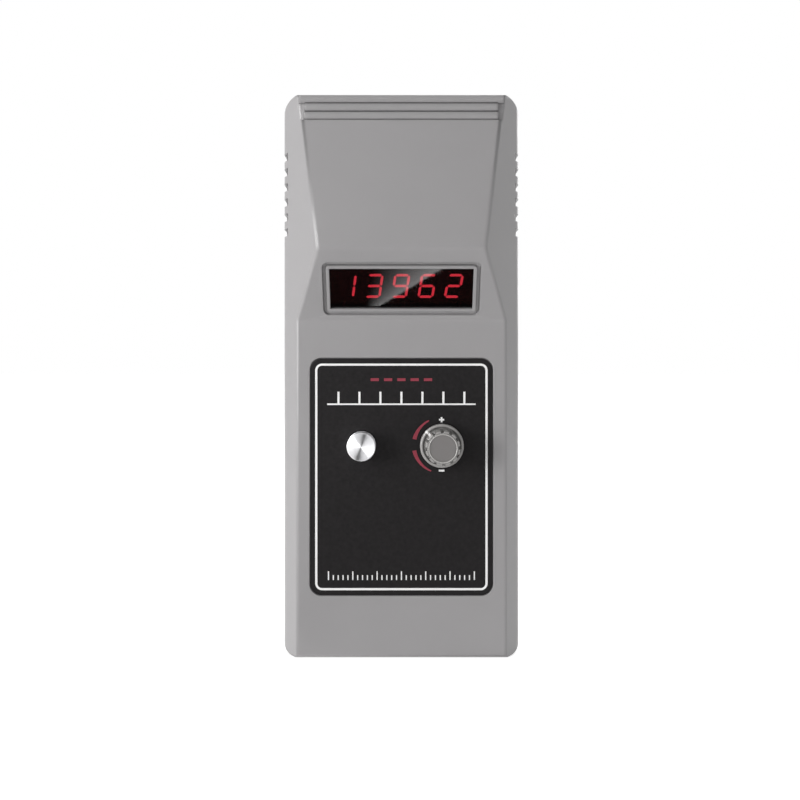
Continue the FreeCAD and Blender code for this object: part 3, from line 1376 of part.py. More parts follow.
def trough(extra, half_width):
    """A solid opening up +Z, long in X: three tangent arcs that follow a parabola, extra to its outside."""
    turn = math.radians(sizes.vertex_turn_degrees)
    near_radius = 2 * sizes.reflector_focus
    inner_centre = Vector(0, 0, near_radius)
    rim = Vector(0, layout.reflector_height / 2, layout.trough_depth)
    out = Vector(0, math.sin(turn), -math.cos(turn))
    to_rim = rim - inner_centre
    reach = to_rim.dot(out)
    far_radius = (2 * near_radius * reach - near_radius**2 - to_rim.Length**2) / (2 * (reach - near_radius))
    outer_centre = inner_centre - out * (far_radius - near_radius)
    to_end = (rim - outer_centre).normalize()
    to_middle = (out + to_end).normalize()
    join_point = inner_centre + out * (near_radius + extra)
    side = [outer_centre + direction * (far_radius + extra) for direction in (to_middle, to_end)]
    shift = Vector(-half_width, 0, 0)
    mirrored = [Vector(0, -p.y, p.z) + shift for p in (join_point, *side)]
    join_point, *side = [p + shift for p in (join_point, *side)]
    vertex = Vector(-half_width, 0, -extra)
    arcs = [
        Part.Arc(mirrored[2], mirrored[1], mirrored[0]),
        Part.Arc(mirrored[0], vertex, join_point),
        Part.Arc(join_point, side[0], side[1]),
    ]
    edges = [arc.toShape() for arc in arcs] + [Part.LineSegment(side[1], mirrored[2]).toShape()]
    return Part.Face(Part.Wire(edges)).extrude(Vector(2 * half_width, 0, 0))


def reflector():
    """Pressed trough: a back of three arcs, end walls with a twelve-sided hole each, and a flange."""
    half, depth = layout.reflector_width / 2, layout.trough_depth
    inner = trough(0, half)
    outer = trough(sizes.sheet, half + sizes.sheet)
    width, height = layout.flange_width, layout.flange_height
    flange = Part.makeBox(width, height, sizes.sheet, Vector(-width / 2, -height / 2, depth - sizes.sheet))
    hole = sizes.tube_radius + sizes.tube_hole_gap
    turns = [math.radians(30 * index) for index in range(13)]
    ring = [Vector(0, hole * math.cos(turn), hole * math.sin(turn)) for turn in turns]
    bar = Part.Face(Part.makePolygon(ring)).extrude(ALONG_X * width)
    bar.translate(Vector(-width / 2, 0, sizes.reflector_focus))
    made = doc.addObject("Part::Feature", "reflector")
    made.Shape = outer.fuse(flange).cut(inner).cut(bar).removeSplitter()
    place(made, "0", "Sizes.lamp_y", "Layout.lens_back - Layout.trough_depth")
    keep("reflector", made)


def flash_tube():
    """Straight tube with a metal cap on each end; twelve flats in each rubber holder grip it."""
    half = "Layout.tube_length / 2"
    axis = ("Sizes.lamp_y", "Layout.tube_z")
    tube = ("Sizes.tube_radius", "Layout.tube_length", ALONG_X)
    keep("flash_tube", rod("flash_tube", f"-{half}", *axis, *tube))
    wall_face = "(Layout.reflector_width / 2 + Sizes.sheet)"
    width = "Sizes.holder_width"
    for name, side in (("left", -1), ("right", 1)):
        start = half if side > 0 else f"-({half} + Sizes.electrode_length)"
        electrode = ("Sizes.tube_radius", "Sizes.electrode_length", ALONG_X)
        keep(f"electrode_{name}", rod(f"electrode_{name}", start, *axis, *electrode))
        low = wall_face if side > 0 else f"-({wall_face} + Sizes.holder_length)"
        corner = (low, f"Sizes.lamp_y - {width} / 2", f"Layout.tube_z - {width} / 2")
        cradle = block(f"holder_block_{name}", *corner, "Sizes.holder_length", width, width)
        through = (clear_of("Sizes.tube_radius", 12), "Sizes.holder_length + 2 * Sizes.wall", 12, ALONG_X)
        bore = prism(f"holder_bore_{name}", f"{low} - Sizes.wall", *axis, *through)
        keep(f"tube_holder_{name}", cut(f"tube_holder_{name}", cradle, bore))


def trigger_wire():
    """Bare wire along the back of the tube, held by two eight-sided bands and tied to the reflector."""
    radius = "Sizes.trigger_wire_radius"
    reach = "(Layout.reflector_width / 2 - Sizes.band_inset)"
    drop = f"(Sizes.tube_radius + {radius})"
    y, z = "Sizes.lamp_y", "Layout.tube_z"
    run = prism("wire_run", f"-{reach}", y, f"{z} - {drop}", radius, f"2 * {reach}", 6, ALONG_X)
    rise = f"Sizes.reflector_focus - {drop}"
    tie = prism("wire_tie", "0", y, f"{z} - Sizes.reflector_focus", radius, rise, 6)
    pieces = [run, tie]
    band = "Sizes.tube_radius + Sizes.band_thickness"
    for index, x in enumerate((f"-{reach}", f"{reach} - Sizes.band_width"), start=1):
        outer = prism(f"band_outer_{index}", x, y, z, band, "Sizes.band_width", 8, ALONG_X)
        hole = clear_of("Sizes.tube_radius", 8)
        inner = prism(f"band_inner_{index}", x, y, z, hole, "Sizes.band_width", 8, ALONG_X)
        pieces.append(cut(f"band_{index}", outer, inner))
    keep("trigger_wire", join("trigger_wire", pieces))


# ---------------------------------------------------------------- inlet and leads


def mains_inlet():
    """Two-pin inlet in the bottom end, clamped by its flange between the shells."""
    body = new_body("mains_inlet")
    face = new_sketch(body, "face", "XY_Plane", "Sizes.inlet_sink")
    rectangle(face, "0", "0", "Sizes.inlet_width", "Sizes.inlet_height")
    pad(body, "body_pad", face, "Sizes.inlet_depth")
    flange = new_sketch(body, "flange", "XY_Plane", "Sizes.wall")
    extra = "2 * Sizes.inlet_flange"
    rectangle(flange, "0", "0", f"Sizes.inlet_width + {extra}", f"Sizes.inlet_height + {extra}")
    pad(body, "flange_pad", flange, "Sizes.inlet_flange_thickness")
    socket = new_sketch(body, "socket", "XY_Plane", "Sizes.inlet_sink")
    end = "(Sizes.socket_height - Sizes.socket_flat) / 2"
    rounded_rectangle(socket, "0", "0", "Sizes.socket_width", "Sizes.socket_height", end)
    pocket(body, "socket_cut", socket, "Sizes.socket_depth", Reversed=True)
    bores = new_sketch(body, "pin_bores", "XY_Plane", "Sizes.inlet_sink")
    pins_sketch(bores)
    pocket(body, "pin_bores_cut", bores, "Sizes.inlet_depth", Reversed=True)

    body = new_body("inlet_pins")
    pins = new_sketch(body, "pins", "XY_Plane", "Sizes.inlet_sink + Sizes.pin_recess")
    pins_sketch(pins)
    pad(body, "pins_pad", pins, "Sizes.inlet_depth - Sizes.pin_recess + Sizes.pin_tail")


def pins_sketch(sketch):
    for side in (-1, 1):
        regular(sketch, f"{side} * Sizes.pin_spacing / 2", "0", "Sizes.pin_radius", 8)


def bent_path(points):
    """Straight runs, each corner cut across by a short run of its own."""
    turns = [points[0]]
    for before, corner, after in zip(points, points[1:], points[2:]):
        back, on = before - corner, after - corner
        cut_back = min(sizes.bend_cut, RUN_SHARE * back.Length, RUN_SHARE * on.Length)
        turns += [corner + back.normalize() * cut_back, corner + on.normalize() * cut_back]
    return Part.makePolygon(turns + [points[-1]])


def swept(path, corners):
    """A section drawn through its corners, carried along a bent path with mitred turns."""
    return path.makePipeShell([Part.makePolygon(corners)], True, False, 1)


def lead_shape(points, radius):
    """A six-sided lead along a bent path that starts along Y or Z."""
    path = bent_path(points)
    heading = (points[1] - points[0]).normalize()
    across = heading.cross(ALONG_X)
    turns = [math.radians(60 * index) for index in range(7)]
    corners = [points[0] + (ALONG_X * math.cos(turn) + across * math.sin(turn)) * radius for turn in turns]
    solid = swept(path, corners)
    expected = 1.5 * math.sqrt(3) * radius**2 * path.Length
    if not near(solid.Volume / expected, 1, 0.01):
        raise RuntimeError("a lead's volume is not its section times its length")
    return solid


def lead(name, routes, radius="lead_radius"):
    """One or more like leads in one node."""
    made = doc.addObject("Part::Feature", name)
    solids = [lead_shape([Vector(*p) for p in route], sizes.get(radius)) for route in routes]
    made.Shape = solids[0] if len(solids) == 1 else Part.makeCompound(solids)
    keep(name, made)


def leads():
    """Mains leads, lamp supply, lamp leads and trigger lead; each ends square on what it joins."""
    board, lamp_face = -layout.board_back, layout.lamp_board_face
    bend = sizes.lead_bend
    inlet_end = sizes.inlet_sink + sizes.inlet_depth + sizes.pin_tail
    landing = sizes.main_board_bottom + sizes.mains_lead_rise
    routes = []
    for side in (-1, 1):
        x = side * sizes.pin_spacing / 2
        routes.append([(x, 0, inlet_end), (x, 0, landing), (x, board, landing)])
    lead("mains_leads", routes)

    x = sizes.capacitor_length / 2 + sizes.supply_lead_gap
    middle = (board + lamp_face) / 2
    low = layout.main_board_top - sizes.supply_lead_drop
    high = layout.lamp_board_bottom + sizes.supply_lead_rise
    path = [(board, low), (middle, low), (middle, high), (lamp_face, high)]
    lead("supply_leads", [[(side * x, py, pz) for py, pz in path] for side in (-1, 1)])

    x = layout.reflector_width / 2 + sizes.sheet + sizes.holder_length / 2
    start, end = layout.tube_z - sizes.holder_width / 2, layout.lamp_board_top - sizes.lamp_lead_drop
    y = sizes.lamp_y
    for name, side in (("left", -1), ("right", 1)):
        path = [(y, start), (y, end + bend), (y + bend / 2, end), (lamp_face, end)]
        lead(f"lamp_lead_{name}", [[(side * x, py, pz) for py, pz in path]])

    x, top = layout.trigger_coil_x, layout.trigger_coil_z + sizes.trigger_coil_width / 2
    vertex = layout.lens_back - layout.trough_depth - sizes.sheet
    coil_y = lamp_face - sizes.trigger_coil_depth / 2
    lead("trigger_lead", [[(x, coil_y, top), (x, coil_y, top + bend), (x, y, vertex - bend), (x, y, vertex)]])


def display_ribbon():
    """Flat cable from the back of the display board to the back of the main board."""
    tilt = math.radians(number("Layout.tilt"))
    width, thickness, bend = sizes.ribbon_width, sizes.ribbon_thickness, sizes.lead_bend
    back = Vector(0, math.cos(tilt), math.sin(tilt))
    up = Vector(0, -math.sin(tilt), math.cos(tilt))
    start = Vector(0, layout.window_y, layout.window_z)
    start += back * (layout.display_board_face + sizes.board_thickness) - up * sizes.ribbon_drop
    turn = start + back * bend
    behind = turn.y + bend
    landing = layout.main_board_top - sizes.ribbon_inset
    path = bent_path(
        [
            start,
            turn,
            Vector(0, behind, turn.z - sizes.ribbon_fall),
            Vector(0, behind, landing),
            Vector(0, -layout.board_back, landing),
        ]
    )
    corners = []
    for sx, sy in ((-1, -1), (1, -1), (1, 1), (-1, 1), (-1, -1)):
        corners.append(start + ALONG_X * (sx * width / 2) + up * (sy * thickness / 2))
    made = doc.addObject("Part::Feature", "display_ribbon")
    made.Shape = swept(path, corners)
    keep("display_ribbon", made)


# ---------------------------------------------------------------- build, check and write


def check_and_write():
    os.makedirs("parts", exist_ok=True)
    doc.recompute()
    failed = [o.Name for o in doc.Objects if {"Invalid", "Error"} & set(o.State)]
    if failed:
        sys.exit(f"failed objects: {failed}")
    for name, thing in parts:
        shape = thing.Shape
        if shape.isNull() or not shape.isValid() or not shape.Solids:
            sys.exit(f"{name}: the shape is null or not valid")
        shape.exportStep(os.path.join("parts", f"{name}.step"))
        print(f"{name}: {len(shape.Solids)} solid(s), {shape.Volume:.1f} mm3")


sizes, layout = make_sheets()
front_shell()
back_shell()
case_screws()
label_plate()
rate_control()
rate_knob()
power_button()
display_filter()
readout_digits()
display_board()
boards()
main_board_pieces()
lamp_board_pieces()
lamp_window()
reflector()
flash_tube()
trigger_wire()
mains_inlet()
leads()
display_ribbon()
check_and_write()
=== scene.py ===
"""A hand-held xenon stroboscope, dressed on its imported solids.

Metres, in the frame of the solids: +Z runs up to the lamp end and the controls face -Y. The sizes and colours
a user may change are in the property groups; each operator below makes one piece or one group of like pieces.
"""

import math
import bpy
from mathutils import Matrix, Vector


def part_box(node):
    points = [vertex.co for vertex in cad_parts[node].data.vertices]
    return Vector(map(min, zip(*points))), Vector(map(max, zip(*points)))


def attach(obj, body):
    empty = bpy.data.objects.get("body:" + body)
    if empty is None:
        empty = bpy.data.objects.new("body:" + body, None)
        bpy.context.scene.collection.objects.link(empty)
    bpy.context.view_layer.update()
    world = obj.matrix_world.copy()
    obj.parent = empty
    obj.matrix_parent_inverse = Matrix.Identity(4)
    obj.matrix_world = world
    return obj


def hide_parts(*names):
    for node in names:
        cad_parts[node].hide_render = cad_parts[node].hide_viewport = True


bl_info = {
    "name": "Xenon stroboscope",
    "version": (1, 0, 0),
    "blender": (4, 5, 0),
    "location": "View3D > Sidebar > Stroboscope",
    "description": "Dresses the solids of a hand-held xenon stroboscope",
    "category": "Add Mesh",
}

import bmesh
import bpy
from bpy.props import FloatProperty, FloatVectorProperty, IntProperty, PointerProperty, StringProperty
from mathutils import Matrix, Vector

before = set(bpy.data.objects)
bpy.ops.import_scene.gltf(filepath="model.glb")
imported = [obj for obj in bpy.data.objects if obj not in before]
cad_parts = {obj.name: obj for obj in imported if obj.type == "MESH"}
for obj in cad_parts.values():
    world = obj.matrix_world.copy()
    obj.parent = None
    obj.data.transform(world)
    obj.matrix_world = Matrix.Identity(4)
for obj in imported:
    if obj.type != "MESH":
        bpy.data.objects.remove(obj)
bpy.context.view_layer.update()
MM = 0.001

# ---- places taken from the solids


def middle(node):
    low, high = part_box(node)
    return (low + high) / 2


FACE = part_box("label_plate")[0].y
KNOB = Vector((middle("rate_knob").x, FACE, middle("rate_knob").z))
BUTTON = Vector((middle("power_button").x, FACE, middle("power_button").z))
RIDGES_END = 43 * MM  # the extra rounding of the ridges and ribs stops here, inside the side edges
RIDGES_FOOT, RIDGES_FULL = 150 * MM, 156 * MM  # heights between which it sets in
SLOPE_RISE, SLOPE_REACH = 26.6, 14.0  # the slope that carries the readout
SLOPE_TILT = math.atan2(SLOPE_REACH, SLOPE_RISE)
FILTER_DEPTH = 2.3 * MM  # middle of the tinted sheet, behind the slope
SLOPE_OUT = Vector((0, -math.cos(SLOPE_TILT), -math.sin(SLOPE_TILT)))
SLOPE_UP = Vector((0, -math.sin(SLOPE_TILT), math.cos(SLOPE_TILT)))
WINDOW = middle("display_filter") + SLOPE_OUT * FILTER_DEPTH
WINDOW_WIDTH, WINDOW_HEIGHT = 55.2 * MM, 16.8 * MM


def facing_out(place, tilt=0.0):
    """Turns local +Z towards the user and local +Y up the panel, at a place on it."""
    return Matrix.Translation(place) @ Matrix.Rotation(math.pi / 2 + tilt, 4, "X")


# ---- colours and nodes


def linear(code):
    """An sRGB hex colour as linear red, green, blue and alpha."""
    channels = [int(code[i : i + 2], 16) / 255 for i in (1, 3, 5)]
    return tuple(c / 12.92 if c <= 0.04045 else ((c + 0.055) / 1.055) ** 2.4 for c in channels) + (1.0,)


MIX_LOW, MIX_HIGH, MIXED = 6, 7, 2  # the colour sockets of a Mix node, whose names repeat


def add(tree, kind, settings=()):
    """Add a node with its settings, by property or by input, and its links: a setting may be an output."""
    made = tree.nodes.new("ShaderNode" + kind)
    for key, value in dict(settings).items():
        if isinstance(value, bpy.types.NodeSocket):
            tree.links.new(value, made.inputs[key])
        elif isinstance(key, str) and key.islower():
            setattr(made, key, value)
        else:
            made.inputs[key].default_value = value
    return made


def surface(name, colour, roughness, **values):
    """A material of one Principled shader, with its tree, its shader and object coordinates.

    The colour is sRGB hex, or linear as a setting holds it.
    """
    made = bpy.data.materials.new(name)
    made.use_nodes = True
    tree = made.node_tree
    tree.nodes.clear()
    own = linear(colour) if isinstance(colour, str) else colour
    settings = {"Base Color": own, "Roughness": roughness}
    settings.update({key.replace("_", " "): value for key, value in values.items()})
    shader = add(tree, "BsdfPrincipled", settings)
    add(tree, "OutputMaterial", {"Surface": shader.outputs[0]})
    place = add(tree, "TexCoord").outputs["Object"]
    return made, tree, shader, place


def vary(tree, shader, pattern, lumps=0, detail=3.0, depth=0, rounding=0, spread=0, colours=(), roughness=()):
    """Let one pattern bump the surface, over rounded edges, and vary its colour and its roughness.

    The pattern is the output of a node, or the coordinates of a noise where the size of its lumps is given.
    The colour goes between two colours, or to both sides of the surface's own by a share of it. The rounding
    may be the output of a node, where the radius changes from place to place. Lengths are in millimetres.
    """
    if lumps:
        noise = {"Vector": pattern, "Scale": 1 / (lumps * MM), "Detail": detail}
        pattern = add(tree, "TexNoise", noise).outputs[0]
    if depth:
        relief = {"Strength": 1.0, "Distance": depth * MM, "Height": pattern}
        if rounding:
            radius = rounding * MM if isinstance(rounding, float) else rounding
            edge = add(tree, "Bevel", {"samples": 4, "Radius": radius})
            relief["Normal"] = edge.outputs["Normal"]
        bump = add(tree, "Bump", relief)
        tree.links.new(bump.outputs["Normal"], shader.inputs["Normal"])
    if spread:
        own = shader.inputs["Base Color"].default_value[:3]
        colours = [[min(1.0, c * (1 + way * spread)) for c in own] + [1.0] for way in (-1, 1)]
    if colours:
        low, high = colours
        mix = add(tree, "Mix", {"data_type": "RGBA", MIX_LOW: low, MIX_HIGH: high, 0: pattern})
        tree.links.new(mix.outputs[MIXED], shader.inputs["Base Color"])
    if roughness:
        low, high = roughness
        spread_out = add(tree, "MapRange", {"To Min": low, "To Max": high, "Value": pattern})
        tree.links.new(spread_out.outputs["Result"], shader.inputs["Roughness"])


def grained(name, colour, mean, values=(), **noise):
    """A material of a mean roughness, its surface varied by one noise."""
    made, tree, shader, place = surface(name, colour, mean, **dict(values))
    vary(tree, shader, place, **noise)
    return made


def rows(tree, place, axis, half):
    """A pattern that rises from nought to one and falls again along an axis, each over a length in mm."""
    parts = add(tree, "SeparateXYZ", {0: place})
    folded = add(tree, "Math", {"operation": "PINGPONG", 0: parts.outputs[axis], 1: half * MM})
    return add(tree, "Math", {"operation": "DIVIDE", 0: folded.outputs[0], 1: half * MM}).outputs[0]


# ---- plastics


def moulded_abs(name, colour, roughness, rounding=0.3, recess=1.0, ridges=0.0):
    """ABS from a spark-eroded mould: satin, finely grained, with soft edges and painted shade in its
    recesses.

    The rounding of its edges, the reach of the painted shade out of a corner and the extra rounding of the
    ridges and ribs of the lamp end are in millimetres.
    """
    made, tree, shader, place = surface(name, colour, roughness, IOR=1.53)
    if ridges:
        parts = add(tree, "SeparateXYZ", {0: place})
        aside = add(tree, "Math", {"operation": "ABSOLUTE", 0: parts.outputs["X"]})
        within = add(tree, "Math", {"operation": "LESS_THAN", 0: aside.outputs[0], 1: RIDGES_END})
        span = {"From Min": RIDGES_FOOT, "From Max": RIDGES_FULL, "To Max": ridges * MM}
        upper = add(tree, "MapRange", {**span, "Value": parts.outputs["Z"]})
        extra = {0: within.outputs[0], 1: upper.outputs["Result"], 2: rounding * MM}
        rounding = add(tree, "Math", {"operation": "MULTIPLY_ADD", **extra}).outputs[0]
    vary(tree, shader, place, lumps=0.35, detail=2.0, depth=0.018, rounding=rounding)
    vary(tree, shader, place, lumps=24, spread=0.035)
    vary(tree, shader, place, lumps=3, roughness=(roughness - 0.05, roughness + 0.06))
    # painted shade: an ambient occlusion node darkens the base colour in recesses, creases and corners, as
    # far as recess reaches
    clean = shader.inputs["Base Color"].links[0].from_socket
    painted_shade = add(tree, "AmbientOcclusion", {"samples": 8, "Distance": recess * MM, "Color": clean})
    tree.links.new(painted_shade.outputs["Color"], shader.inputs["Base Color"])
    return made


def printed_polycarbonate(name, colour):
    """Reverse-printed polycarbonate film: near black, its velvet texture breaks up highlights."""
    made, tree, shader, place = surface(name, colour, 0.5, Specular_IOR_Level=0.15)
    vary(tree, shader, place, lumps=0.45, detail=4.0, depth=0.03, rounding=0.15, roughness=(0.42, 0.6))
    vary(tree, shader, place, lumps=1.4, detail=5.0, spread=0.55)
    return made


def screen_ink(name, colour):
    """Screen-printed ink: matt and slightly uneven in cover."""
    return grained(name, colour, 0.6, lumps=0.5, depth=0.01, spread=0.06)


def smoked_acrylic(name, colour):
    """Polished tinted acrylic sheet: dark and glossy, it lets only the lit figures through."""
    bulk = {"IOR": 1.49, "Transmission_Weight": 1.0}
    return grained(name, colour, 0.03, bulk, lumps=8, roughness=(0.02, 0.05))


def clear_polycarbonate(name):
    """Clear moulded polycarbonate: smooth, with the slight waviness of a moulded window."""
    bulk = {"IOR": 1.58, "Transmission_Weight": 1.0}
    return grained(name, "#F4F8F8", 0.04, bulk, lumps=14, detail=1.0, depth=0.05)


def display_epoxy(name, colour, roughness=0.35):
    """Cast epoxy of a display module: smooth and slightly glossy, with fine dust marks."""
    return grained(name, colour, roughness, {"IOR": 1.55}, lumps=0.8, depth=0.01, spread=0.15)


def glowing_epoxy(name, colour, brightness):
    """Diffusing red epoxy over a lit die: an even glow with a faint grain."""
    glow = {"Emission_Color": colour, "Emission_Strength": brightness}
    return grained(name, colour, 0.4, glow, lumps=0.6, depth=0.01)


def chip_epoxy(name, colour):
    """Transfer-moulded black epoxy: dull, with a coarse matt texture."""
    bulk = {"IOR": 1.55}
    return grained(name, colour, 0.6, bulk, lumps=0.25, detail=4.0, depth=0.015, rounding=0.2, spread=0.15)


def shrunk_sleeve(name, colour, band):
    """PET sleeve shrunk over a can: glossy, with pale bands round it and faint wrinkles."""
    made, tree, shader, place = surface(name, colour, 0.28, IOR=1.57)
    vary(tree, shader, place, lumps=4, detail=2.0, depth=0.05)
    stripes, edge = rows(tree, place, "Z", half=8), 0.8
    bands = add(tree, "Math", {"operation": "GREATER_THAN", 0: stripes, 1: edge})
    vary(tree, shader, bands.outputs[0], colours=(linear(colour), linear(band)))
    return made


def wound_tape(name, colour):
    """Polyester tape wound round a coil: semi-gloss, with the overlap of each turn showing as a fine step."""
    made, tree, shader, place = surface(name, colour, 0.35, IOR=1.64)
    wave = {"Vector": place, "bands_direction": "Z", "Scale": 45.0, "Distortion": 0.6}  # turns 7 mm wide
    turns = add(tree, "TexWave", wave)
    vary(tree, shader, turns.outputs["Fac"], depth=0.12, rounding=0.4)
    vary(tree, shader, place, lumps=6, spread=0.1)
    return made


def insulation(name, colour):
    """Extruded PVC insulation: smooth satin with faint drag marks."""
    return grained(name, colour, 0.42, {"IOR": 1.52}, lumps=1.2, detail=2.0, depth=0.03, spread=0.06)


def silicone_rubber(name, colour):
    """Moulded silicone rubber: soft dull sheen over a faintly uneven skin."""
    bulk = {"IOR": 1.41, "Sheen_Weight": 0.15}
    return grained(name, colour, 0.62, bulk, lumps=0.8, depth=0.03, rounding=0.5, spread=0.05)


def flat_cable(name, colour):
    """Ribbon cable: parallel cores 1.27 mm apart, moulded side by side in grey PVC."""
    made, tree, shader, place = surface(name, colour, 0.5, IOR=1.52)
    vary(tree, shader, rows(tree, place, "X", half=0.635), depth=0.25, spread=0.08)
    return made


# ---- metals, glass, ceramic, laminate


def turned_face(name, colour, centre):
    """Aluminium faced on a lathe: fine rings about the axis that stretch each highlight into a line."""
    made, tree, shader, place = surface(name, colour, 0.34, Metallic=1.0, Anisotropic=1.0)
    per_ring = math.tau / (0.3 * MM)
    from_axis = add(tree, "VectorMath", {"operation": "SUBTRACT", 0: place, 1: centre})
    level = add(tree, "VectorMath", {"operation": "MULTIPLY", 0: from_axis.outputs[0], 1: (1, 0, 1)})
    radius = add(tree, "VectorMath", {"operation": "LENGTH", 0: level.outputs[0]})
    phase = add(tree, "Math", {"operation": "MULTIPLY", 0: radius.outputs["Value"], 1: per_ring})
    rings = add(tree, "Math", {"operation": "SINE", 0: phase.outputs[0]})
    vary(tree, shader, rings.outputs[0], depth=0.001)
    tree.links.new(level.outputs[0], shader.inputs["Tangent"])
    return made


def bright_metal(name, colour, roughness):
    """Plated or turned metal: bright, with fine scratches and slightly clouded reflections."""
    made, tree, shader, place = surface(name, colour, roughness, Metallic=1.0)
    vary(tree, shader, place, lumps=0.4, detail=4.0, depth=0.01, rounding=0.15)
    vary(tree, shader, place, lumps=4, spread=0.05, roughness=(roughness * 0.8, roughness * 1.3))
    return made


def laminated_core(name, colour):
    """Stacked silicon-steel sheets 0.5 mm thick: a dark varnished stack whose edges show as fine lines."""
    made, tree, shader, place = surface(name, colour, 0.45, Metallic=0.8)
    vary(tree, shader, rows(tree, place, "Y", half=0.25), depth=0.08)
    vary(tree, shader, place, lumps=4, spread=0.2)
    return made


def polished_sheet(name, colour):
    """Anodised reflector sheet: a near mirror with the faint rolling lines of the sheet."""
    made, tree, shader, place = surface(name, colour, 0.12, Metallic=1.0)
    stretch = add(tree, "Mapping", {"Scale": (0.08, 1.0, 1.0), "Vector": place})
    vary(tree, shader, stretch.outputs["Vector"], lumps=0.3, depth=0.012, roughness=(0.08, 0.2))
    return made


def tube_glass(name):
    """Drawn borosilicate tube: clear, with very slight streaks along its length."""
    bulk = {"IOR": 1.47, "Transmission_Weight": 1.0}
    return grained(name, "#F2F6F5", 0.02, bulk, lumps=5, detail=1.0, depth=0.02)


def matt_ceramic(name, colour):
    """Unglazed ceramic of a power resistor: chalky and slightly pitted."""
    return grained(name, colour, 0.8, lumps=0.5, detail=5.0, depth=0.06, rounding=0.3, spread=0.08)


def solder_mask(name, colour, copper):
    """Glass-epoxy board under green solder mask, with the tracks showing through as paler, raised bands."""
    made, tree, shader, place = surface(name, colour, 0.3, IOR=1.55)
    parts = add(tree, "SeparateXYZ", {0: place})
    plan = add(tree, "CombineXYZ", {"X": parts.outputs["X"], "Y": parts.outputs["Z"]})
    black, white = (0, 0, 0, 1), (1, 1, 1, 1)
    layout = {"offset": 0.37, "squash": 1.6, "Color1": black, "Color2": black, "Mortar": white, "Scale": 1.0}
    layout.update({"Mortar Size": 0.3 * MM, "Brick Width": 11 * MM, "Row Height": 2.54 * MM})
    tracks = add(tree, "TexBrick", {**layout, "Vector": plan.outputs[0]})
    patches = add(tree, "TexNoise", {"Vector": place, "Scale": 1 / (9 * MM), "Detail": 0.0})
    broken = add(tree, "Math", {"operation": "GREATER_THAN", 0: patches.outputs[0], 1: 0.47})
    bare = add(tree, "Math", {"operation": "MULTIPLY", 0: tracks.outputs["Color"], 1: broken.outputs[0]})
    vary(tree, shader, bare.outputs[0], depth=0.04, colours=(linear(colour), linear(copper)))
    return made


# ---- making pieces


def merged(node):
    """A copy of a solid's mesh with its triangles joined up and its flat faces whole."""
    bm = bmesh.new()
    bm.from_mesh(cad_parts[node].data)
    bmesh.ops.remove_doubles(bm, verts=bm.verts, dist=1e-6)
    bmesh.ops.dissolve_limit(bm, angle_limit=math.radians(0.2), verts=bm.verts, edges=bm.edges)
    return bm


def shown(name, data):
    """Put a mesh, a lamp or a camera into the scene."""
    made = bpy.data.objects.new(name, data)
    bpy.context.scene.collection.objects.link(made)
    return made


def meshed(name, bm, material):
    """Turn a bmesh into an object of one material."""
    mesh = bpy.data.meshes.new(name)
    bm.to_mesh(mesh)
    bm.free()
    mesh.materials.append(material)
    return shown(name, mesh)


def piece(name, bm, body, material, replaces=(), sharp=32.0, weighted=False):
    """Turn a bmesh into a shaded object that rides on a body; it may stand for some of the solids."""
    made = meshed(name, bm, material)
    made.data.shade_smooth()
    made.data.set_sharp_from_angle(angle=math.radians(sharp))
    if weighted:
        made.modifiers.new("even shading", "WEIGHTED_NORMAL").keep_sharp = True
    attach(made, body)
    if replaces:
        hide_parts(*replaces)


def copied(name, node, material):
    """A smoothly shaded copy that stands for a solid of the case."""
    piece(name, merged(node), "case", material, [node], weighted=True)


def dress(material, *nodes):
    """Give solids that show as they are their material."""
    for node in nodes:
        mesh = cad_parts[node].data
        mesh.materials.clear()
        mesh.materials.append(material)


def turn(bm, profile, steps):
    """Spin a chain of (radius, height) points in millimetres about local Z, and close it on the axis."""
    chain = [bm.verts.new((radius * MM, 0, height * MM)) for radius, height in profile]
    edges = [bm.edges.new(pair) for pair in zip(chain, chain[1:])]
    bmesh.ops.spin(
        bm, geom=chain + edges, cent=(0, 0, 0), axis=(0, 0, 1), angle=math.tau, steps=steps, use_merge=True
    )
    bmesh.ops.remove_doubles(bm, verts=bm.verts, dist=1e-7)
    bmesh.ops.recalc_face_normals(bm, faces=bm.faces)


def flat(bm, width, height, x=0.0, y=0.0, radius=0.0):
    """A flat rectangle in the local plane, sizes in millimetres, its corners rounded by a radius."""
    corners = bmesh.ops.create_grid(bm, x_segments=1, y_segments=1, size=0.5)["verts"]
    bmesh.ops.scale(bm, vec=(width * MM, height * MM, 1), verts=corners)
    bmesh.ops.translate(bm, vec=(x * MM, y * MM, 0), verts=corners)
    if radius:
        bmesh.ops.bevel(
            bm, geom=corners, offset=radius * MM, affect="VERTICES", segments=10, profile=0.5, material=-1
        )


def points(parts):
    """The points among the parts that an operator has made."""
    return [part for part in parts if isinstance(part, bmesh.types.BMVert)]


def raised(bm, height):
    """Give every flat shape a thickness, upwards from the local plane."""
    bmesh.ops.recalc_face_normals(bm, faces=bm.faces)
    grown = bmesh.ops.extrude_face_region(bm, geom=bm.faces[:])["geom"]
    bmesh.ops.translate(bm, vec=(0, 0, height), verts=points(grown))
    bmesh.ops.recalc_face_normals(bm, faces=bm.faces)


# ---- settings


def colour_setting(name, description, code):
    """A colour that a user may change, given as sRGB hex."""
    default = linear(code)
    return FloatVectorProperty(name=name, description=description, subtype="COLOR", size=4, default=default)


def length_setting(name, description, size):
    """A length that a user may change, given in millimetres."""
    return FloatProperty(name=name, description=description, unit="LENGTH", min=0, default=size * MM)


def power_setting(name, description, watts):
    """The power of a lamp."""
    return FloatProperty(name=name, description=description, unit="POWER", min=0, default=watts)


class CaseSettings(bpy.types.PropertyGroup):
    shell_colour: colour_setting("Shell", "Moulded shells", "#9F9D9E")
    screw_colour: colour_setting("Screws", "Zinc-plated case screws", "#B9BBBF")


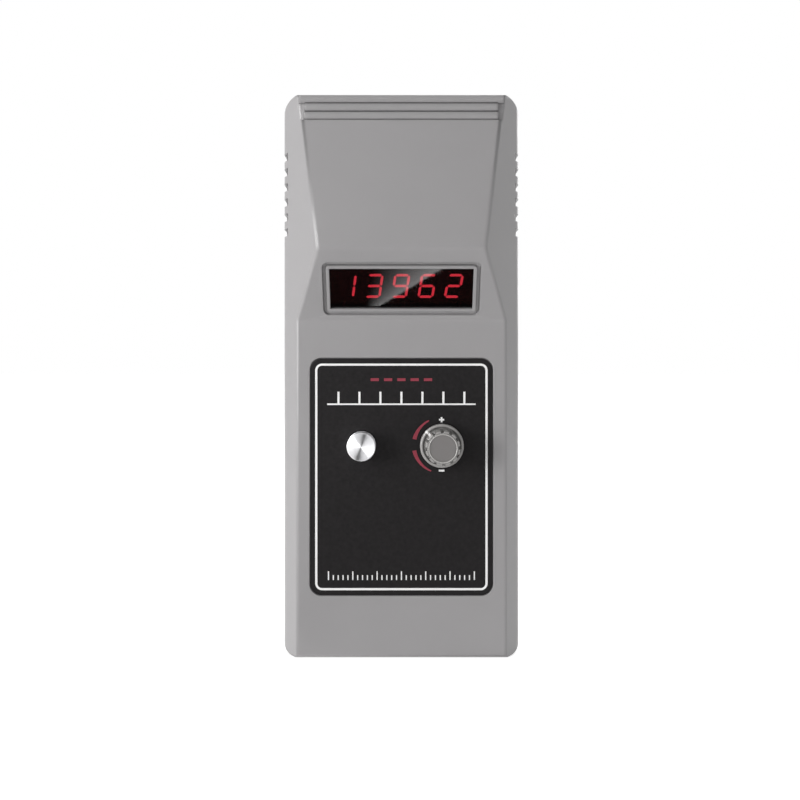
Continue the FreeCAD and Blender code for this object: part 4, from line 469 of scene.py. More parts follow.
class PanelSettings(bpy.types.PropertyGroup):
    film_colour: colour_setting("Film", "Printed control label", "#1B191A")
    ink_colour: colour_setting("Ink", "White print", "#FCFBF9")
    accent_colour: colour_setting("Accent", "Red print", "#8E2539")
    line_width: length_setting("Border line", "Width of the label's border", 0.85)
    ink_height: length_setting("Ink height", "How far the print stands up", 0.04)


class ReadoutSettings(bpy.types.PropertyGroup):
    figures: StringProperty(name="Figures", description="Digits, one for each module", default="13962")
    lit_colour: colour_setting("Lit bar", "Lit segment", "#E2708C")
    brightness: FloatProperty(name="Brightness", description="Glow of the lit segments", min=0, default=7.0)
    filter_colour: colour_setting("Filter", "Tint of the window", "#5A2A2A")


class ControlSettings(bpy.types.PropertyGroup):
    knob_colour: colour_setting("Knob", "Fluted knob and skirt", "#A09E9C")
    cap_colour: colour_setting("Cap", "Disc in the knob's face", "#7C7978")
    # painted highlight: the rim's lighter colour stands in for the light its edge catches; only its lower
    # roughness is real polish
    rim_highlight_colour: colour_setting("Cap rim", "Polished rim round the disc", "#BDBBB8")
    flutes: IntProperty(name="Flutes", description="Notches round the knob", min=1, default=12)
    flute_radius: length_setting("Flute radius", "Radius of the notches", 0.65)
    flute_inset: length_setting("Flute inset", "Middle of a notch inside the knob's side", 0.45)
    pointer: FloatProperty(
        name="Pointer", description="Where the knob points", subtype="ANGLE", default=math.radians(137.5)
    )
    button_colour: colour_setting("Button", "Turned aluminium", "#F6F6F8")


class StageSettings(bpy.types.PropertyGroup):
    floor_colour: colour_setting("Floor", "Pale floor", "#F2F2F2")
    key_power: power_setting("Key light", "Lamp on the left", 5.9)
    fill_power: power_setting("Fill light", "Lamp on the right", 0.15)
    back_power: power_setting("Back light", "Lamp behind the object", 5.0)
    ambient: FloatProperty(name="Ambient", description="Even light from all round", min=0, default=0.41)


# ---- case


class STROBE_OT_case(bpy.types.Operator):
    """The two moulded shells, smoothly shaded"""

    bl_idname = "strobe.case"
    bl_label = "Case"

    def execute(self, context):
        colour = context.scene.strobe_case.shell_colour
        shell = moulded_abs("moulded ABS, grey", colour, 0.36, rounding=0.5, recess=0.6, ridges=1.2)
        copied("front_case", "front_shell", shell)
        copied("back_case", "back_shell", shell)
        return {"FINISHED"}


class STROBE_OT_case_screws(bpy.types.Operator):
    """Four pan-head screws with a cross recess, deep in the back shell"""

    bl_idname = "strobe.case_screws"
    bl_label = "Case screws"

    HEAD, SHANK = 2.7, 1.3  # radii, in mm
    REACH, ARM, DEPTH, TAPER = 1.3, 0.27, 1.1, 0.7  # of the cross: half its span and width, depth, narrowing

    def execute(self, context):
        low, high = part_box("case_screws")
        half = self.HEAD * MM
        bm = bmesh.new()
        for x in (low.x + half, high.x - half):
            for z in (low.z + half, high.z - half):
                # the crosses of the left and the right screws stand at different angles
                place = Matrix.Translation((x, high.y, z)) @ Matrix.Rotation(x / MM, 4, "Y")
                self.screw(bm, place @ Matrix.Rotation(-math.pi / 2, 4, "X"), (high.y - low.y) / MM)
        plate = bright_metal("zinc-plated steel, passivated", context.scene.strobe_case.screw_colour, 0.35)
        piece("case_screw_set", bm, "case", plate, ["case_screws"])
        return {"FINISHED"}

    def screw(self, bm, matrix, length):
        """One screw, its head's top at the local origin, with a tapered cross pressed into it."""
        old = set(bm.verts)
        shank = [(0, -length), (1.0, -length + 0.6), (self.SHANK, -length + 1.2), (self.SHANK, -2)]
        turn(bm, shank + [(self.HEAD, -2), (self.HEAD, -1.1), (2.5, -0.45), (2.1, -0.1), (1.7, 0)], 48)
        rim = [e for e in bm.edges if e.is_boundary and not old.intersection(e.verts)]
        cross = bmesh.ops.create_grid(bm, x_segments=3, y_segments=3, size=1)["verts"]
        for vert in cross:
            sides = [math.copysign(self.REACH if abs(c) > 0.5 else self.ARM, c) * MM for c in vert.co.xy]
            vert.co = (*sides, 0)
        faces = {face for vert in cross for face in vert.link_faces}
        arms = [f for f in faces if min(abs(c) for c in f.calc_center_median().xy) < 0.1 * MM]
        bmesh.ops.delete(bm, geom=list(faces.difference(arms)), context="FACES")
        edges = {edge for face in arms for edge in face.edges if edge.is_boundary}
        bmesh.ops.triangle_fill(bm, use_beauty=True, edges=rim + list(edges))
        pressed = bmesh.ops.extrude_face_region(bm, geom=arms)["geom"]
        bmesh.ops.scale(bm, vec=(self.TAPER, self.TAPER, 1), verts=points(pressed))
        bmesh.ops.translate(bm, vec=(0, 0, -self.DEPTH * MM), verts=points(pressed))
        made = [vert for vert in bm.verts if vert not in old]
        bmesh.ops.recalc_face_normals(bm, faces=list({f for v in made for f in v.link_faces}))
        bmesh.ops.transform(bm, matrix=matrix, verts=made)


# ---- control label


class STROBE_OT_label(bpy.types.Operator):
    """The printed film with its border, marks and generic patterns"""

    bl_idname = "strobe.label"
    bl_label = "Control label"

    BORDER_WIDTH, BORDER_HEIGHT, BORDER_CORNER = 67.4, 88.6, 2.7  # mm
    TICKS, TICK_PITCH, TICK_WIDTH = 15, 1.9, 0.45  # how many on each side of the middle one; mm
    TICK_FOOT, TICK, LONG_TICK = -40.3, 1.9, 3.4  # where they stand and how tall they are, in mm

    def execute(self, context):
        panel = context.scene.strobe_panel
        film = printed_polycarbonate("printed polycarbonate film, black", panel.film_colour)
        copied("label_film", "label_plate", film)
        white = screen_ink("screen ink, white", panel.ink_colour)
        red = screen_ink("screen ink, red", panel.accent_colour)
        low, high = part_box("label_plate")
        centre = Vector(((low.x + high.x) / 2, FACE, (low.z + high.z) / 2))
        self.border(panel, centre, white)
        self.knob_marks(white, red)
        self.pulse_train(centre, white, red)
        self.tick_row(centre, white)
        return {"FINISHED"}

    def print_on(self, bm, name, place, ink):
        """Raise a flat pattern by the height of the ink and lay it on the panel at a place."""
        raised(bm, bpy.context.scene.strobe_panel.ink_height)
        bm.transform(facing_out(place))
        piece(name, bm, "case", ink)

    def border(self, panel, centre, ink):
        """A white line with rounded corners, an even distance inside the label's edge."""
        bm = bmesh.new()
        flat(bm, self.BORDER_WIDTH, self.BORDER_HEIGHT, radius=self.BORDER_CORNER)
        whole = bm.faces[:]
        ring = bmesh.ops.inset_individual(bm, faces=whole, thickness=panel.line_width, depth=0)["faces"]
        bmesh.ops.delete(bm, geom=[face for face in bm.faces if face not in ring], context="FACES")
        self.print_on(bm, "label_border", centre, ink)

    def knob_marks(self, white, red):
        """Plus above the knob, minus below it, and a tapered arc each way beside it."""
        signs = bmesh.new()
        # each stroke's place above the knob's axis, its width and its height, in mm
        strokes = ((10, 2.0, 0.68), (10.68, 0.68, 0.68), (9.32, 0.68, 0.68), (-9.9, 2.2, 0.74))
        for y, width, height in strokes:
            flat(signs, width, height, y=y)
        self.print_on(signs, "knob_signs", KNOB, white)
        arcs = bmesh.new()
        # each arc's two ends, in degrees from the right, and whether the second end is the thick one
        for start, end, thick_end in ((117, 167.5, True), (191, 248, False)):
            self.tapered_arc(arcs, math.radians(start), math.radians(end), thick_end)
        self.print_on(arcs, "knob_arcs", KNOB, red)

    def tapered_arc(self, bm, start, end, thick_end):
        """An arc about the local origin that widens from 0.5 to 1.6 mm towards one end."""
        reach, thin, widening = 10.85 * MM, 0.25 * MM, 0.55 * MM
        inner, outer = bm.verts.new((reach - thin, 0, 0)), bm.verts.new((reach + thin, 0, 0))
        edge = bm.edges.new((inner, outer))
        bmesh.ops.rotate(bm, matrix=Matrix.Rotation(start, 3, "Z"), verts=[inner, outer])
        before = set(bm.verts)
        seed, sweep = [inner, outer, edge], end - start
        bmesh.ops.spin(bm, geom=seed, cent=(0, 0, 0), axis=(0, 0, 1), angle=sweep, steps=24)
        made = [v for v in bm.verts if v not in before] + [inner, outer]
        for vert in made:
            angle = math.atan2(vert.co.y, vert.co.x) % math.tau
            along = (angle - start) / sweep
            half = thin + widening * (along if thick_end else 1 - along)
            vert.co = vert.co.normalized() * (reach + math.copysign(half, vert.co.length - reach))

    def pulse_train(self, centre, white, red):
        """A row of flash pulses over a base line, and a short row of red marks above it."""
        line = bmesh.new()
        flat(line, width=58, height=0.6, y=28.4)
        self.row(line, each_side=3, pitch=8.2, width=0.8, height=4.6, y=31)
        self.print_on(line, "label_pulses", centre, white)
        marks = bmesh.new()
        self.row(marks, each_side=2, pitch=5.2, width=3.2, height=1.1, y=38)
        self.print_on(marks, "label_red_marks", centre, red)

    def row(self, bm, each_side, pitch, width, height, y):
        """Equal marks in a row, so many on each side of the middle one, in millimetres."""
        for index in range(-each_side, each_side + 1):
            flat(bm, width, height, index * pitch, y)

    def tick_row(self, centre, white):
        """A plain row of ticks near the lower edge, every fifth one longer."""
        row = bmesh.new()
        for index in range(-self.TICKS, self.TICKS + 1):
            height = self.LONG_TICK if index % 5 == 0 else self.TICK
            flat(row, self.TICK_WIDTH, height, index * self.TICK_PITCH, self.TICK_FOOT + height / 2)
        self.print_on(row, "label_ticks", centre, white)


# ---- readout


class STROBE_OT_readout(bpy.types.Operator):
    """Tinted window, five display modules and their lit and unlit bars"""

    bl_idname = "strobe.readout"
    bl_label = "Readout"

    MODULES = 5
    LIT = dict(zip("0123456789", "abcdef bc abged abgcd fgbc afgcd afgedc abc abcdefg abcdfg".split()))
    # middle of each bar across and up the character, its length, and whether it stands upright, in mm
    BARS = {
        "a": (0, 4.53, 4.9, False),
        "b": (2.65, 2.27, 4.2, True),
        "c": (2.65, -2.27, 4.2, True),
        "d": (0, -4.53, 4.9, False),
        "e": (-2.65, -2.27, 4.2, True),
        "f": (-2.65, 2.27, 4.2, True),
        "g": (0, 0, 4.9, False),
    }
    BAR_WIDTH, LEAN = 0.95, math.radians(8)
    PITCH, SHIFT = 10.3, -0.3  # from one character to the next, and of the whole row, in mm
    BAR_HEIGHT = 0.3 * MM
    BACK = 4.04 * MM  # foot of the bars behind the slope; the modules' faces are at 3.8 mm

    def execute(self, context):
        readout = context.scene.strobe_readout
        dark = display_epoxy("display epoxy, black", "#15110F", 0.3)
        dress(dark, *(f"digit_{i + 1}" for i in range(self.MODULES)))
        lit, unlit = bmesh.new(), bmesh.new()
        for index, figure in enumerate(readout.figures[: self.MODULES]):
            across = (index - self.MODULES // 2) * self.PITCH + self.SHIFT
            for name, bar in self.BARS.items():
                self.bar(lit if name in self.LIT.get(figure, "") else unlit, across, bar)
        for bm in (lit, unlit):
            raised(bm, self.BAR_HEIGHT)
            bm.transform(facing_out(WINDOW, SLOPE_TILT) @ Matrix.Translation((0, 0, -self.BACK)))
        glow = glowing_epoxy("diffusing epoxy, lit", readout.lit_colour, readout.brightness)
        piece("lit_bars", lit, "case", glow)
        clear = display_epoxy("diffusing epoxy, unlit", "#33201E")
        piece("unlit_bars", unlit, "case", clear)
        tint = smoked_acrylic("smoked acrylic, red-brown", readout.filter_colour)
        copied("readout_window", "display_filter", tint)
        return {"FINISHED"}

    def bar(self, bm, x, bar):
        """One flat bar with pointed ends, leaning with the character."""
        across, up, length, upright = bar
        verts = bmesh.ops.create_circle(bm, segments=6, radius=1, cap_ends=True)["verts"]
        half, side = length / 2, self.BAR_WIDTH / 2
        for vert in verts:
            tip = abs(vert.co.x) < 0.1
            along = math.copysign(half if tip else half - side, vert.co.y)
            wide = 0 if tip else math.copysign(side, vert.co.x)
            local_x, local_y = (wide, along) if upright else (along, wide)
            height = up + local_y
            vert.co = Vector((x + across + local_x + height * math.tan(self.LEAN), height, 0)) * MM


# ---- controls


class STROBE_OT_rate_control(bpy.types.Operator):
    """Skirted, fluted knob with its cap and pointer, over the potentiometer's hardware"""

    bl_idname = "strobe.rate_control"
    bl_label = "Rate control"

    BARREL, BARREL_FOOT, BARREL_TOP = 6.6 * MM, 4.2 * MM, 14.0 * MM
    BARREL_WALL = 6.0 * MM  # the flutes move only what is farther out than this
    STEPS_PER_FLUTE = 24

    def execute(self, context):
        control = context.scene.strobe_control
        self.knob(control)
        self.cap(control)
        self.pointer(control)
        brass = bright_metal("nickel-plated brass", "#C9C5BA", 0.25)
        steel = bright_metal("zinc-plated steel, bright", "#B4B7BC", 0.32)
        dress(brass, "pot_bushing", "pot_nut")
        dress(steel, "pot_washer", "pot_body")
        dress(bright_metal("drawn aluminium rod", "#C8C9CB", 0.3), "pot_shaft")
        return {"FINISHED"}

    def knob(self, control):
        """Skirt with a raised rim round a dished ring, and a straight barrel that carries the flutes."""
        bore = [(0, 12), (3, 12), (3, 5.45), (3.9, 5.45), (3.9, 2.95), (6.8, 2.95), (6.8, 0.9)]
        rim = [(8.2, 0.9), (8.42, 1.1), (8.5, 1.5), (8.5, 3.1), (8.43, 3.45), (8.25, 3.72), (7.98, 3.88)]
        dish = [(7.7, 3.9), (7.45, 3.83), (7.3, 3.66), (7.2, 3.42), (7.05, 3.3), (6.7, 3.3), (6.6, 3.45)]
        side = [(6.6, 4.2), (6.6, 5.5), (6.6, 8.5), (6.6, 11.5), (6.6, 13.5), (6.52, 13.8), (6.32, 13.97)]
        top = [(6.1, 14.0), (5.6, 14.0), (5.6, 13.0), (0, 13.0)]
        bm = bmesh.new()
        turn(bm, bore + rim + dish + side + top, self.STEPS_PER_FLUTE * control.flutes)
        for vert in bm.verts:
            radius = math.hypot(vert.co.x, vert.co.y)
            if radius > self.BARREL_WALL and self.BARREL_FOOT - 0.1 * MM < vert.co.z <= self.BARREL_TOP:
                self.notch(vert, radius, control)
        bm.transform(facing_out(KNOB))
        plastic = moulded_abs("moulded ABS, knob grey", control.knob_colour, 0.3, rounding=0.15, recess=1.5)
        piece("fluted_knob", bm, "knob", plastic, ["rate_knob"], sharp=28)

    def notch(self, vert, radius, control):
        """Move a point of the barrel in to the round floor of the flute it stands in."""
        spacing = math.tau / control.flutes
        angle = math.atan2(vert.co.y, vert.co.x) - control.pointer
        off = (angle % spacing) - spacing / 2
        reach = self.BARREL - control.flute_inset
        aside = reach * math.sin(off)
        if abs(aside) < control.flute_radius:
            floor = reach * math.cos(off) - math.sqrt(control.flute_radius**2 - aside**2)
            vert.co.xy *= min(1.0, floor / radius)

    def cap(self, control):
        """Disc seated in the barrel, a little sunk within its own raised rim, which is coloured lighter as a
        painted highlight.
        """
        bm = bmesh.new()
        turn(bm, [(0, 13.0), (5.58, 13.0), (5.58, 14.05), (5.5, 14.12), (4.6, 14.1), (0, 14.1)], 128)
        bm.transform(facing_out(KNOB))
        plastic = moulded_abs("moulded ABS, cap grey", control.cap_colour, 0.34, rounding=0.1)
        piece("knob_disc", bm, "knob", plastic, ["knob_cap"], sharp=28)
        ring = bmesh.new()
        rim = [(5.57, 14.2), (5.5, 14.33), (5.38, 14.4), (5.24, 14.38), (5.12, 14.28), (5.06, 14.14)]
        turn(ring, [(5.06, 14.08), (5.57, 14.04)] + rim + [(5.06, 14.08)], 128)
        ring.transform(facing_out(KNOB))
        # painted highlight: the rim is coloured lighter than the disc, on top of its real gloss
        polished_painted_highlight = moulded_abs("moulded ABS, polished rim", control.rim_highlight_colour, 0.2, rounding=0.05)
        piece("knob_disc_rim", ring, "knob", polished_painted_highlight, sharp=40)

    def pointer(self, control):
        """A hot-foil line down the barrel, across the dished ring and over the rim."""
        half, foil = 0.46 * MM, 0.07 * MM
        path = [(6.6, 13.3), (6.6, 3.6), (6.72, 3.32), (7.03, 3.33), (7.18, 3.46), (7.28, 3.7), (7.44, 3.87)]
        path += [(7.7, 3.94), (8.0, 3.92), (8.28, 3.75), (8.46, 3.47), (8.51, 3.1), (8.51, 2.5)]
        bm = bmesh.new()
        radius, height = path[0]
        ends = [bm.verts.new((radius * MM, side * half, height * MM)) for side in (-1, 1)]
        edge = bm.edges.new(ends)
        for (r0, h0), (r1, h1) in zip(path, path[1:]):
            grown = bmesh.ops.extrude_edge_only(bm, edges=[edge])["geom"]
            edge = next(part for part in grown if isinstance(part, bmesh.types.BMEdge))
            bmesh.ops.translate(bm, vec=((r1 - r0) * MM, 0, (h1 - h0) * MM), verts=points(grown))
        bmesh.ops.recalc_face_normals(bm, faces=bm.faces)
        bmesh.ops.solidify(bm, geom=bm.faces[:], thickness=foil)
        bmesh.ops.recalc_face_normals(bm, faces=bm.faces)
        bm.transform(facing_out(KNOB) @ Matrix.Rotation(control.pointer, 4, "Z"))
        white = screen_ink("hot-foil line, white", "#FBFAF8")
        piece("knob_pointer", bm, "knob", white)


class STROBE_OT_power_button(bpy.types.Operator):
    """Button turned from aluminium bar, on the plunger of its push switch"""

    bl_idname = "strobe.power_button"
    bl_label = "Power button"

    def execute(self, context):
        control = context.scene.strobe_control
        socket = [(0, 4), (2.3, 4), (2.3, -1), (5.5, -1)]
        face = [(5.5, 7.5), (5.4, 7.75), (5.15, 7.95), (4.8, 8.0), (2.4, 8.0), (0, 8.0)]
        button = bmesh.new()
        turn(button, socket + face, 128)
        button.transform(facing_out(BUTTON))
        metal = turned_face("turned aluminium, faced", control.button_colour, BUTTON)
        piece("turned_button", button, "button", metal, ["power_button"], sharp=40)
        dress(moulded_abs("moulded nylon, black", "#1C1C1D", 0.45), "switch_body")
        dress(moulded_abs("moulded acetal, white", "#E4E3DE", 0.4), "switch_plunger")
        return {"FINISHED"}


# ---- electronics


class STROBE_OT_boards(bpy.types.Operator):
    """Circuit boards and what stands on them"""

    bl_idname = "strobe.boards"
    bl_label = "Boards"

    def execute(self, context):
        mask = solder_mask("glass-epoxy laminate, green solder mask", "#1E5A33", "#4F8E5B")
        dress(mask, "display_board", "main_board", "lamp_board")
        steel = bright_metal("zinc-plated steel, small screws", "#B4B7BC", 0.3)
        dress(steel, "display_screws", "board_screws", "lamp_board_screws", "quartz_crystal")
        dress(chip_epoxy("moulded epoxy, black", "#1B1B1C"), "control_chip", "regulator")
        dress(laminated_core("laminated silicon steel", "#5C5B5E"), "transformer_core")
        dress(wound_tape("polyester tape, yellow", "#D9B23C"), "transformer_coil", "trigger_coil")
        sleeve = shrunk_sleeve("shrunk PET sleeve, dark blue", "#1B2033", "#B9BCC4")
        dress(sleeve, "logic_capacitor", "flash_capacitor")
        dress(matt_ceramic("unglazed ceramic", "#DDD9CE"), "charging_resistor")
        dress(tube_glass("drawn glass, fuse"), "fuse_glass")
        spring = bright_metal("nickel-plated spring brass", "#C6C0B0", 0.28)
        dress(spring, "fuse_caps", "fuse_clips")
        dress(flat_cable("ribbon cable, grey", "#9D9EA0"), "display_ribbon")
        return {"FINISHED"}


class STROBE_OT_lamp(bpy.types.Operator):
    """End window, trough reflector, flash tube and its fittings"""

    bl_idname = "strobe.lamp"
    bl_label = "Lamp"

    def execute(self, context):
        clear = clear_polycarbonate("clear polycarbonate, moulded")
        copied("end_window", "lamp_window", clear)
        bright = polished_sheet("anodised aluminium sheet, bright", "#DDDFE1")
        copied("trough", "reflector", bright)
        low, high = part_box("flash_tube")
        centre, half = (low + high) / 2, (high.x - low.x) / 2 / MM
        tube = bmesh.new()
        outer, bore = 2.5, 1.8
        turn(tube, [(outer, -half), (outer, half), (bore, half), (bore, -half), (outer, -half)], 48)
        lying = Matrix.Translation(centre) @ Matrix.Rotation(math.pi / 2, 4, "Y")
        tube.transform(lying)
        glass = tube_glass("drawn borosilicate glass")
        piece("tube_envelope", tube, "case", glass, ["flash_tube"])
        rods = bmesh.new()
        for side in (-1, 1):
            rod = [(0, 0), (0.5, 0), (0.5, 7), (1.1, 7), (1.1, 11), (0.7, 11.6), (0, 11.8)]
            turn(rods, [(radius, side * (half - depth)) for radius, depth in rod], 32)
        rods.transform(lying)
        tungsten = bright_metal("sintered tungsten", "#7E7B78", 0.45)
        piece("tube_electrodes", rods, "case", tungsten)
        plated = bright_metal("nickel-plated end caps", "#C9C5BA", 0.25)
        dress(plated, "electrode_left", "electrode_right", "trigger_wire")
        rubber = silicone_rubber("silicone rubber, white", "#DEDBD2")
        dress(rubber, "tube_holder_left", "tube_holder_right")
        return {"FINISHED"}


class STROBE_OT_inlet(bpy.types.Operator):
    """Mains inlet with its pins, and the insulated leads inside"""

    bl_idname = "strobe.inlet"
    bl_label = "Inlet and leads"

    def execute(self, context):
        polyamide = moulded_abs("moulded polyamide, black", "#19191A", 0.4)
        copied("inlet_body", "mains_inlet", polyamide)
        dress(bright_metal("nickel-plated brass, pins", "#CFCBBF", 0.2), "inlet_pins")
        dress(insulation("PVC insulation, blue", "#1F3F94"), "mains_leads", "lamp_lead_right")
        red = insulation("PVC insulation, red", "#A51D1B")
        dress(red, "supply_leads", "lamp_lead_left", "trigger_lead")
        return {"FINISHED"}


# ---- stage


class STROBE_OT_stage(bpy.types.Operator):
    """Pale floor, plain soft light, the camera, and cards that only gloss shows"""

    bl_idname = "strobe.stage"
    bl_label = "Stage"

    AIM = Vector((0, 0, 0.11))
    EYE, VIEW_ANGLE, VIEW_SHIFT = Vector((-0.00055, -0.408, 0.118)), math.radians(44.2), -0.0547
    # each lamp's place and the side of its square
    LAMPS = {
        "key": ((-0.8, -0.58, 0.2), 0.38),
        "fill": ((0.8, -0.53, 0.25), 0.25),
        "back": ((0.35, 0.95, 0.55), 0.8),
    }
    FLOOR_HALF, FLOOR_DROP, FLOOR_GLOW = 6, 0.2 * MM, 0.66  # half its side; how far it lies below nought
    BLACK_LEVEL, BRIGHT_LEVEL = 2 * MM, 3 * MM  # of the window's two cards, above the floor
    # the bright card's edges across the window: at its middle, and how far they go over its whole height
    FADED_EDGE, SHARP_EDGE = (-0.225, 0.05), (0.065, 0.47)
    FADE, CARD_GLOW = 1.5, 4.5
    # widths and heights of two cards in mm, and where their middles are
    TALL_CARD, TALL_CARD_PLACE, LEAN = (230, 6000), (-0.026, -1.2, 0.1), math.radians(17)
    RIDGE_CARD, RIDGE_CARD_PLACE, RIDGE_GLOW = (250, 450), Vector((-0.78, -0.52, 0.64)), 36.0
    # the tall card's foot: where it starts, its height above the floor, and half its width at either end
    FOOT_START, FOOT_LEVEL, FOOT_TIP, FOOT_HALF = -0.05, 1.5 * MM, 0.009, 0.115

    def execute(self, context):
        stage = context.scene.strobe_stage
        self.floor(stage)
        self.world(context.scene, stage)
        for name, (place, size) in self.LAMPS.items():
            self.lamp(f"{name}_light", getattr(stage, f"{name}_power"), place, size)
        self.camera(context.scene)
        self.window_cards()
        self.button_card()
        self.ridge_card()
        context.scene.view_settings.view_transform = "Standard"
        return {"FINISHED"}

    def camera(self, scene):
        """A camera level with the label, its picture shifted up the object."""
        lens = bpy.data.cameras.new("camera")
        lens.angle, lens.shift_y = self.VIEW_ANGLE, self.VIEW_SHIFT
        camera = shown("camera", lens)
        camera.location = self.EYE
        camera.rotation_euler = (math.pi / 2, 0, 0)
        scene.camera = camera

    def floor(self, stage):
        """A matt floor that keeps the object's shadow and looks white wherever it is seen or mirrored."""
        bm = bmesh.new()
        bmesh.ops.create_grid(bm, x_segments=1, y_segments=1, size=self.FLOOR_HALF)
        bmesh.ops.translate(bm, vec=(0, 0, -self.FLOOR_DROP), verts=bm.verts)
        made, tree, shader, place = surface("matt white laminate", stage.floor_colour, 0.7)
        vary(tree, shader, place, lumps=400, spread=0.01)
        seen = self.seen_rays(tree)
        lift = add(tree, "Math", {"operation": "MULTIPLY", 0: seen, 1: self.FLOOR_GLOW})
        tree.links.new(lift.outputs[0], shader.inputs["Emission Strength"])
        self.scenery("floor", bm, made)

    def seen_rays(self, tree):
        """One for what the camera, a gloss or a glass sees, and nought for what lights a surface."""
        rays = add(tree, "LightPath").outputs
        direct = {0: rays["Is Camera Ray"], 1: rays["Is Glossy Ray"]}
        either = add(tree, "Math", {"operation": "MAXIMUM", **direct})
        through = {0: either.outputs[0], 1: rays["Is Transmission Ray"]}
        return add(tree, "Math", {"operation": "MAXIMUM", **through}).outputs[0]

    def world(self, scene, stage):
        """Even light for surfaces; white where the camera, a gloss or a glass sees past the floor."""
        scene.world = bpy.data.worlds.new("surroundings")
        scene.world.use_nodes = True
        tree = scene.world.node_tree
        tree.nodes.clear()
        levels = {"To Min": stage.ambient, "To Max": 1.0, "Value": self.seen_rays(tree)}
        strength = add(tree, "MapRange", levels).outputs["Result"]
        white = add(tree, "Background", {"Color": (1, 1, 1, 1), "Strength": strength})
        add(tree, "OutputWorld", {"Surface": white.outputs[0]})

    def lamp(self, name, power, place, size):
        """A square lamp turned to the middle of the object."""
        light = bpy.data.lights.new(name, "AREA")
        light.energy, light.size = power, size
        lamp = shown(name, light)
        lamp.location = place
        lamp.rotation_euler = (self.AIM - lamp.location).to_track_quat("-Z", "Y").to_euler()

    def scenery(self, name, bm, material):
        """Turn a bmesh into an object of one material, for the floor or a card."""
        made = meshed(name, bm, material)
        return made

    def card(self, name, bm, material):
        """A card that only gloss shows: it sheds no light or shadow and the camera looks through it."""
        made = self.scenery(name, bm, material)
        made.visible_camera = made.visible_diffuse = False
        made.visible_transmission = made.visible_shadow = False

    def reflected(self, across, up, height):
        """Where a place on the window, as shares of its size from its middle, mirrors a level card."""
        point = WINDOW + Vector((across * WINDOW_WIDTH, 0, 0)) + SLOPE_UP * (up * WINDOW_HEIGHT)
        image = self.EYE - SLOPE_OUT * (2 * (self.EYE - WINDOW).dot(SLOPE_OUT))
        ray = point - image
        return image + ray * ((height - image.z) / ray.z)

    def window_cards(self):
        """Before the object, a black card that darkens the window and a bright one for its gloss."""
        black = bmesh.new()
        corners = ((-0.8, -1), (0.8, -1), (0.8, 1), (-0.8, 1))  # in shares of the window's size
        black.faces.new([black.verts.new(self.reflected(x, y, self.BLACK_LEVEL)) for x, y in corners])
        self.card("black_card", black, surface("black paper", "#050505", 1.0)[0])

        bright = bmesh.new()
        bright.loops.layers.uv.new("across")
        bmesh.ops.create_grid(bright, x_segments=12, y_segments=12, size=0.5, calc_uvs=True)
        for vert in bright.verts:
            along, up = vert.co.x + 0.5, vert.co.y
            faded, sharp = (at + shift * up for at, shift in (self.FADED_EDGE, self.SHARP_EDGE))
            vert.co = self.reflected(faded + (sharp - faded) * along, up, self.BRIGHT_LEVEL)
        made, tree, shader, _ = surface("white paper, lit", "#050505", 1.0)
        cross = add(tree, "SeparateXYZ", {0: add(tree, "UVMap").outputs[0]})
        fade = add(tree, "Math", {"operation": "POWER", 0: cross.outputs["X"], 1: self.FADE})
        glow = add(tree, "Math", {"operation": "MULTIPLY", 0: fade.outputs[0], 1: self.CARD_GLOW})
        tree.links.new(glow.outputs[0], shader.inputs["Emission Strength"])
        self.card("bright_card", bright, made)

    def button_card(self):
        """A tall black card far in front, with a foot along the floor: the streak on the turned button."""
        bm = bmesh.new()
        flat(bm, *self.TALL_CARD)
        place, lean = Matrix.Translation(self.TALL_CARD_PLACE), Matrix.Rotation(self.LEAN, 4, "Y")
        bm.transform(place @ lean @ Matrix.Rotation(math.pi / 2, 4, "X"))
        aside = BUTTON.x - BUTTON.z * math.tan(self.LEAN)
        tip, far, start, end = self.FOOT_TIP, self.FOOT_HALF, self.FOOT_START, self.TALL_CARD_PLACE[1]
        foot = ((-tip, start), (-far, end), (far, end), (tip, start))
        bm.faces.new([bm.verts.new((aside + x, y, self.FOOT_LEVEL)) for x, y in foot])
        self.card("tall_card", bm, surface("black velvet", "#050505", 1.0)[0])

    def ridge_card(self):
        """A bright card high on the left: the light line along the rounded ridges."""
        bm = bmesh.new()
        flat(bm, *self.RIDGE_CARD)
        facing = (self.AIM - self.RIDGE_CARD_PLACE).to_track_quat("Z", "Y").to_matrix().to_4x4()
        bm.transform(Matrix.Translation(self.RIDGE_CARD_PLACE) @ facing)
        lit = surface("white card, lit", "#050505", 1.0, Emission_Strength=self.RIDGE_GLOW)[0]
        self.card("ridge_card", bm, lit)


# ---- panel and registration

OPERATORS = (
    STROBE_OT_case,
    STROBE_OT_case_screws,
    STROBE_OT_label,
    STROBE_OT_readout,
    STROBE_OT_rate_control,
    STROBE_OT_power_button,
    STROBE_OT_boards,
    STROBE_OT_lamp,
    STROBE_OT_inlet,
    STROBE_OT_stage,
)
SETTINGS = {
    "strobe_case": CaseSettings,
    "strobe_panel": PanelSettings,
    "strobe_readout": ReadoutSettings,
    "strobe_control": ControlSettings,
    "strobe_stage": StageSettings,
}


class STROBE_PT_panel(bpy.types.Panel):
    """Lists the pieces of the stroboscope"""

    bl_idname = "STROBE_PT_panel"
    bl_label = "Stroboscope"
    bl_space_type = "VIEW_3D"
    bl_region_type = "UI"
    bl_category = "Stroboscope"

    def draw(self, context):
        for operator in OPERATORS:
            self.layout.operator(operator.bl_idname)
        for name, group in SETTINGS.items():
            box = self.layout.box()
            for key in group.__annotations__:
                box.prop(getattr(context.scene, name), key)


def register():
    for made in (*SETTINGS.values(), *OPERATORS, STROBE_PT_panel):
        bpy.utils.register_class(made)
    for name, group in SETTINGS.items():
        setattr(bpy.types.Scene, name, PointerProperty(type=group))


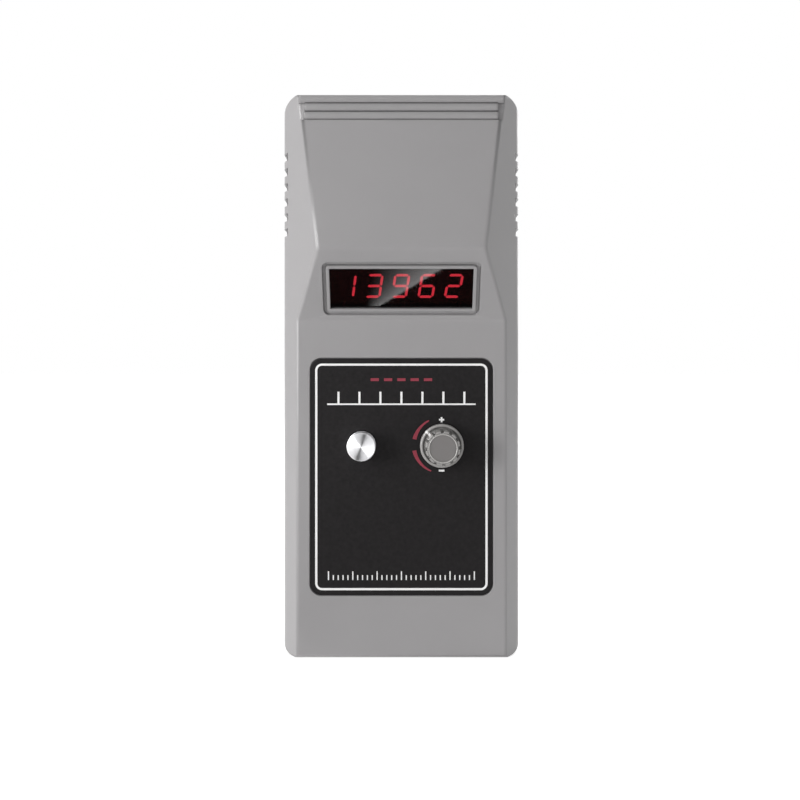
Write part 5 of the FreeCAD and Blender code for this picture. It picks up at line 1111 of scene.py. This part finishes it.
def unregister():
    for name in SETTINGS:
        delattr(bpy.types.Scene, name)
    for made in reversed((*SETTINGS.values(), *OPERATORS, STROBE_PT_panel)):
        bpy.utils.unregister_class(made)


def main():
    register()
    for operator in OPERATORS:
        getattr(bpy.ops.strobe, operator.bl_idname.split(".")[1])()


if __name__ == "__main__":
    main()
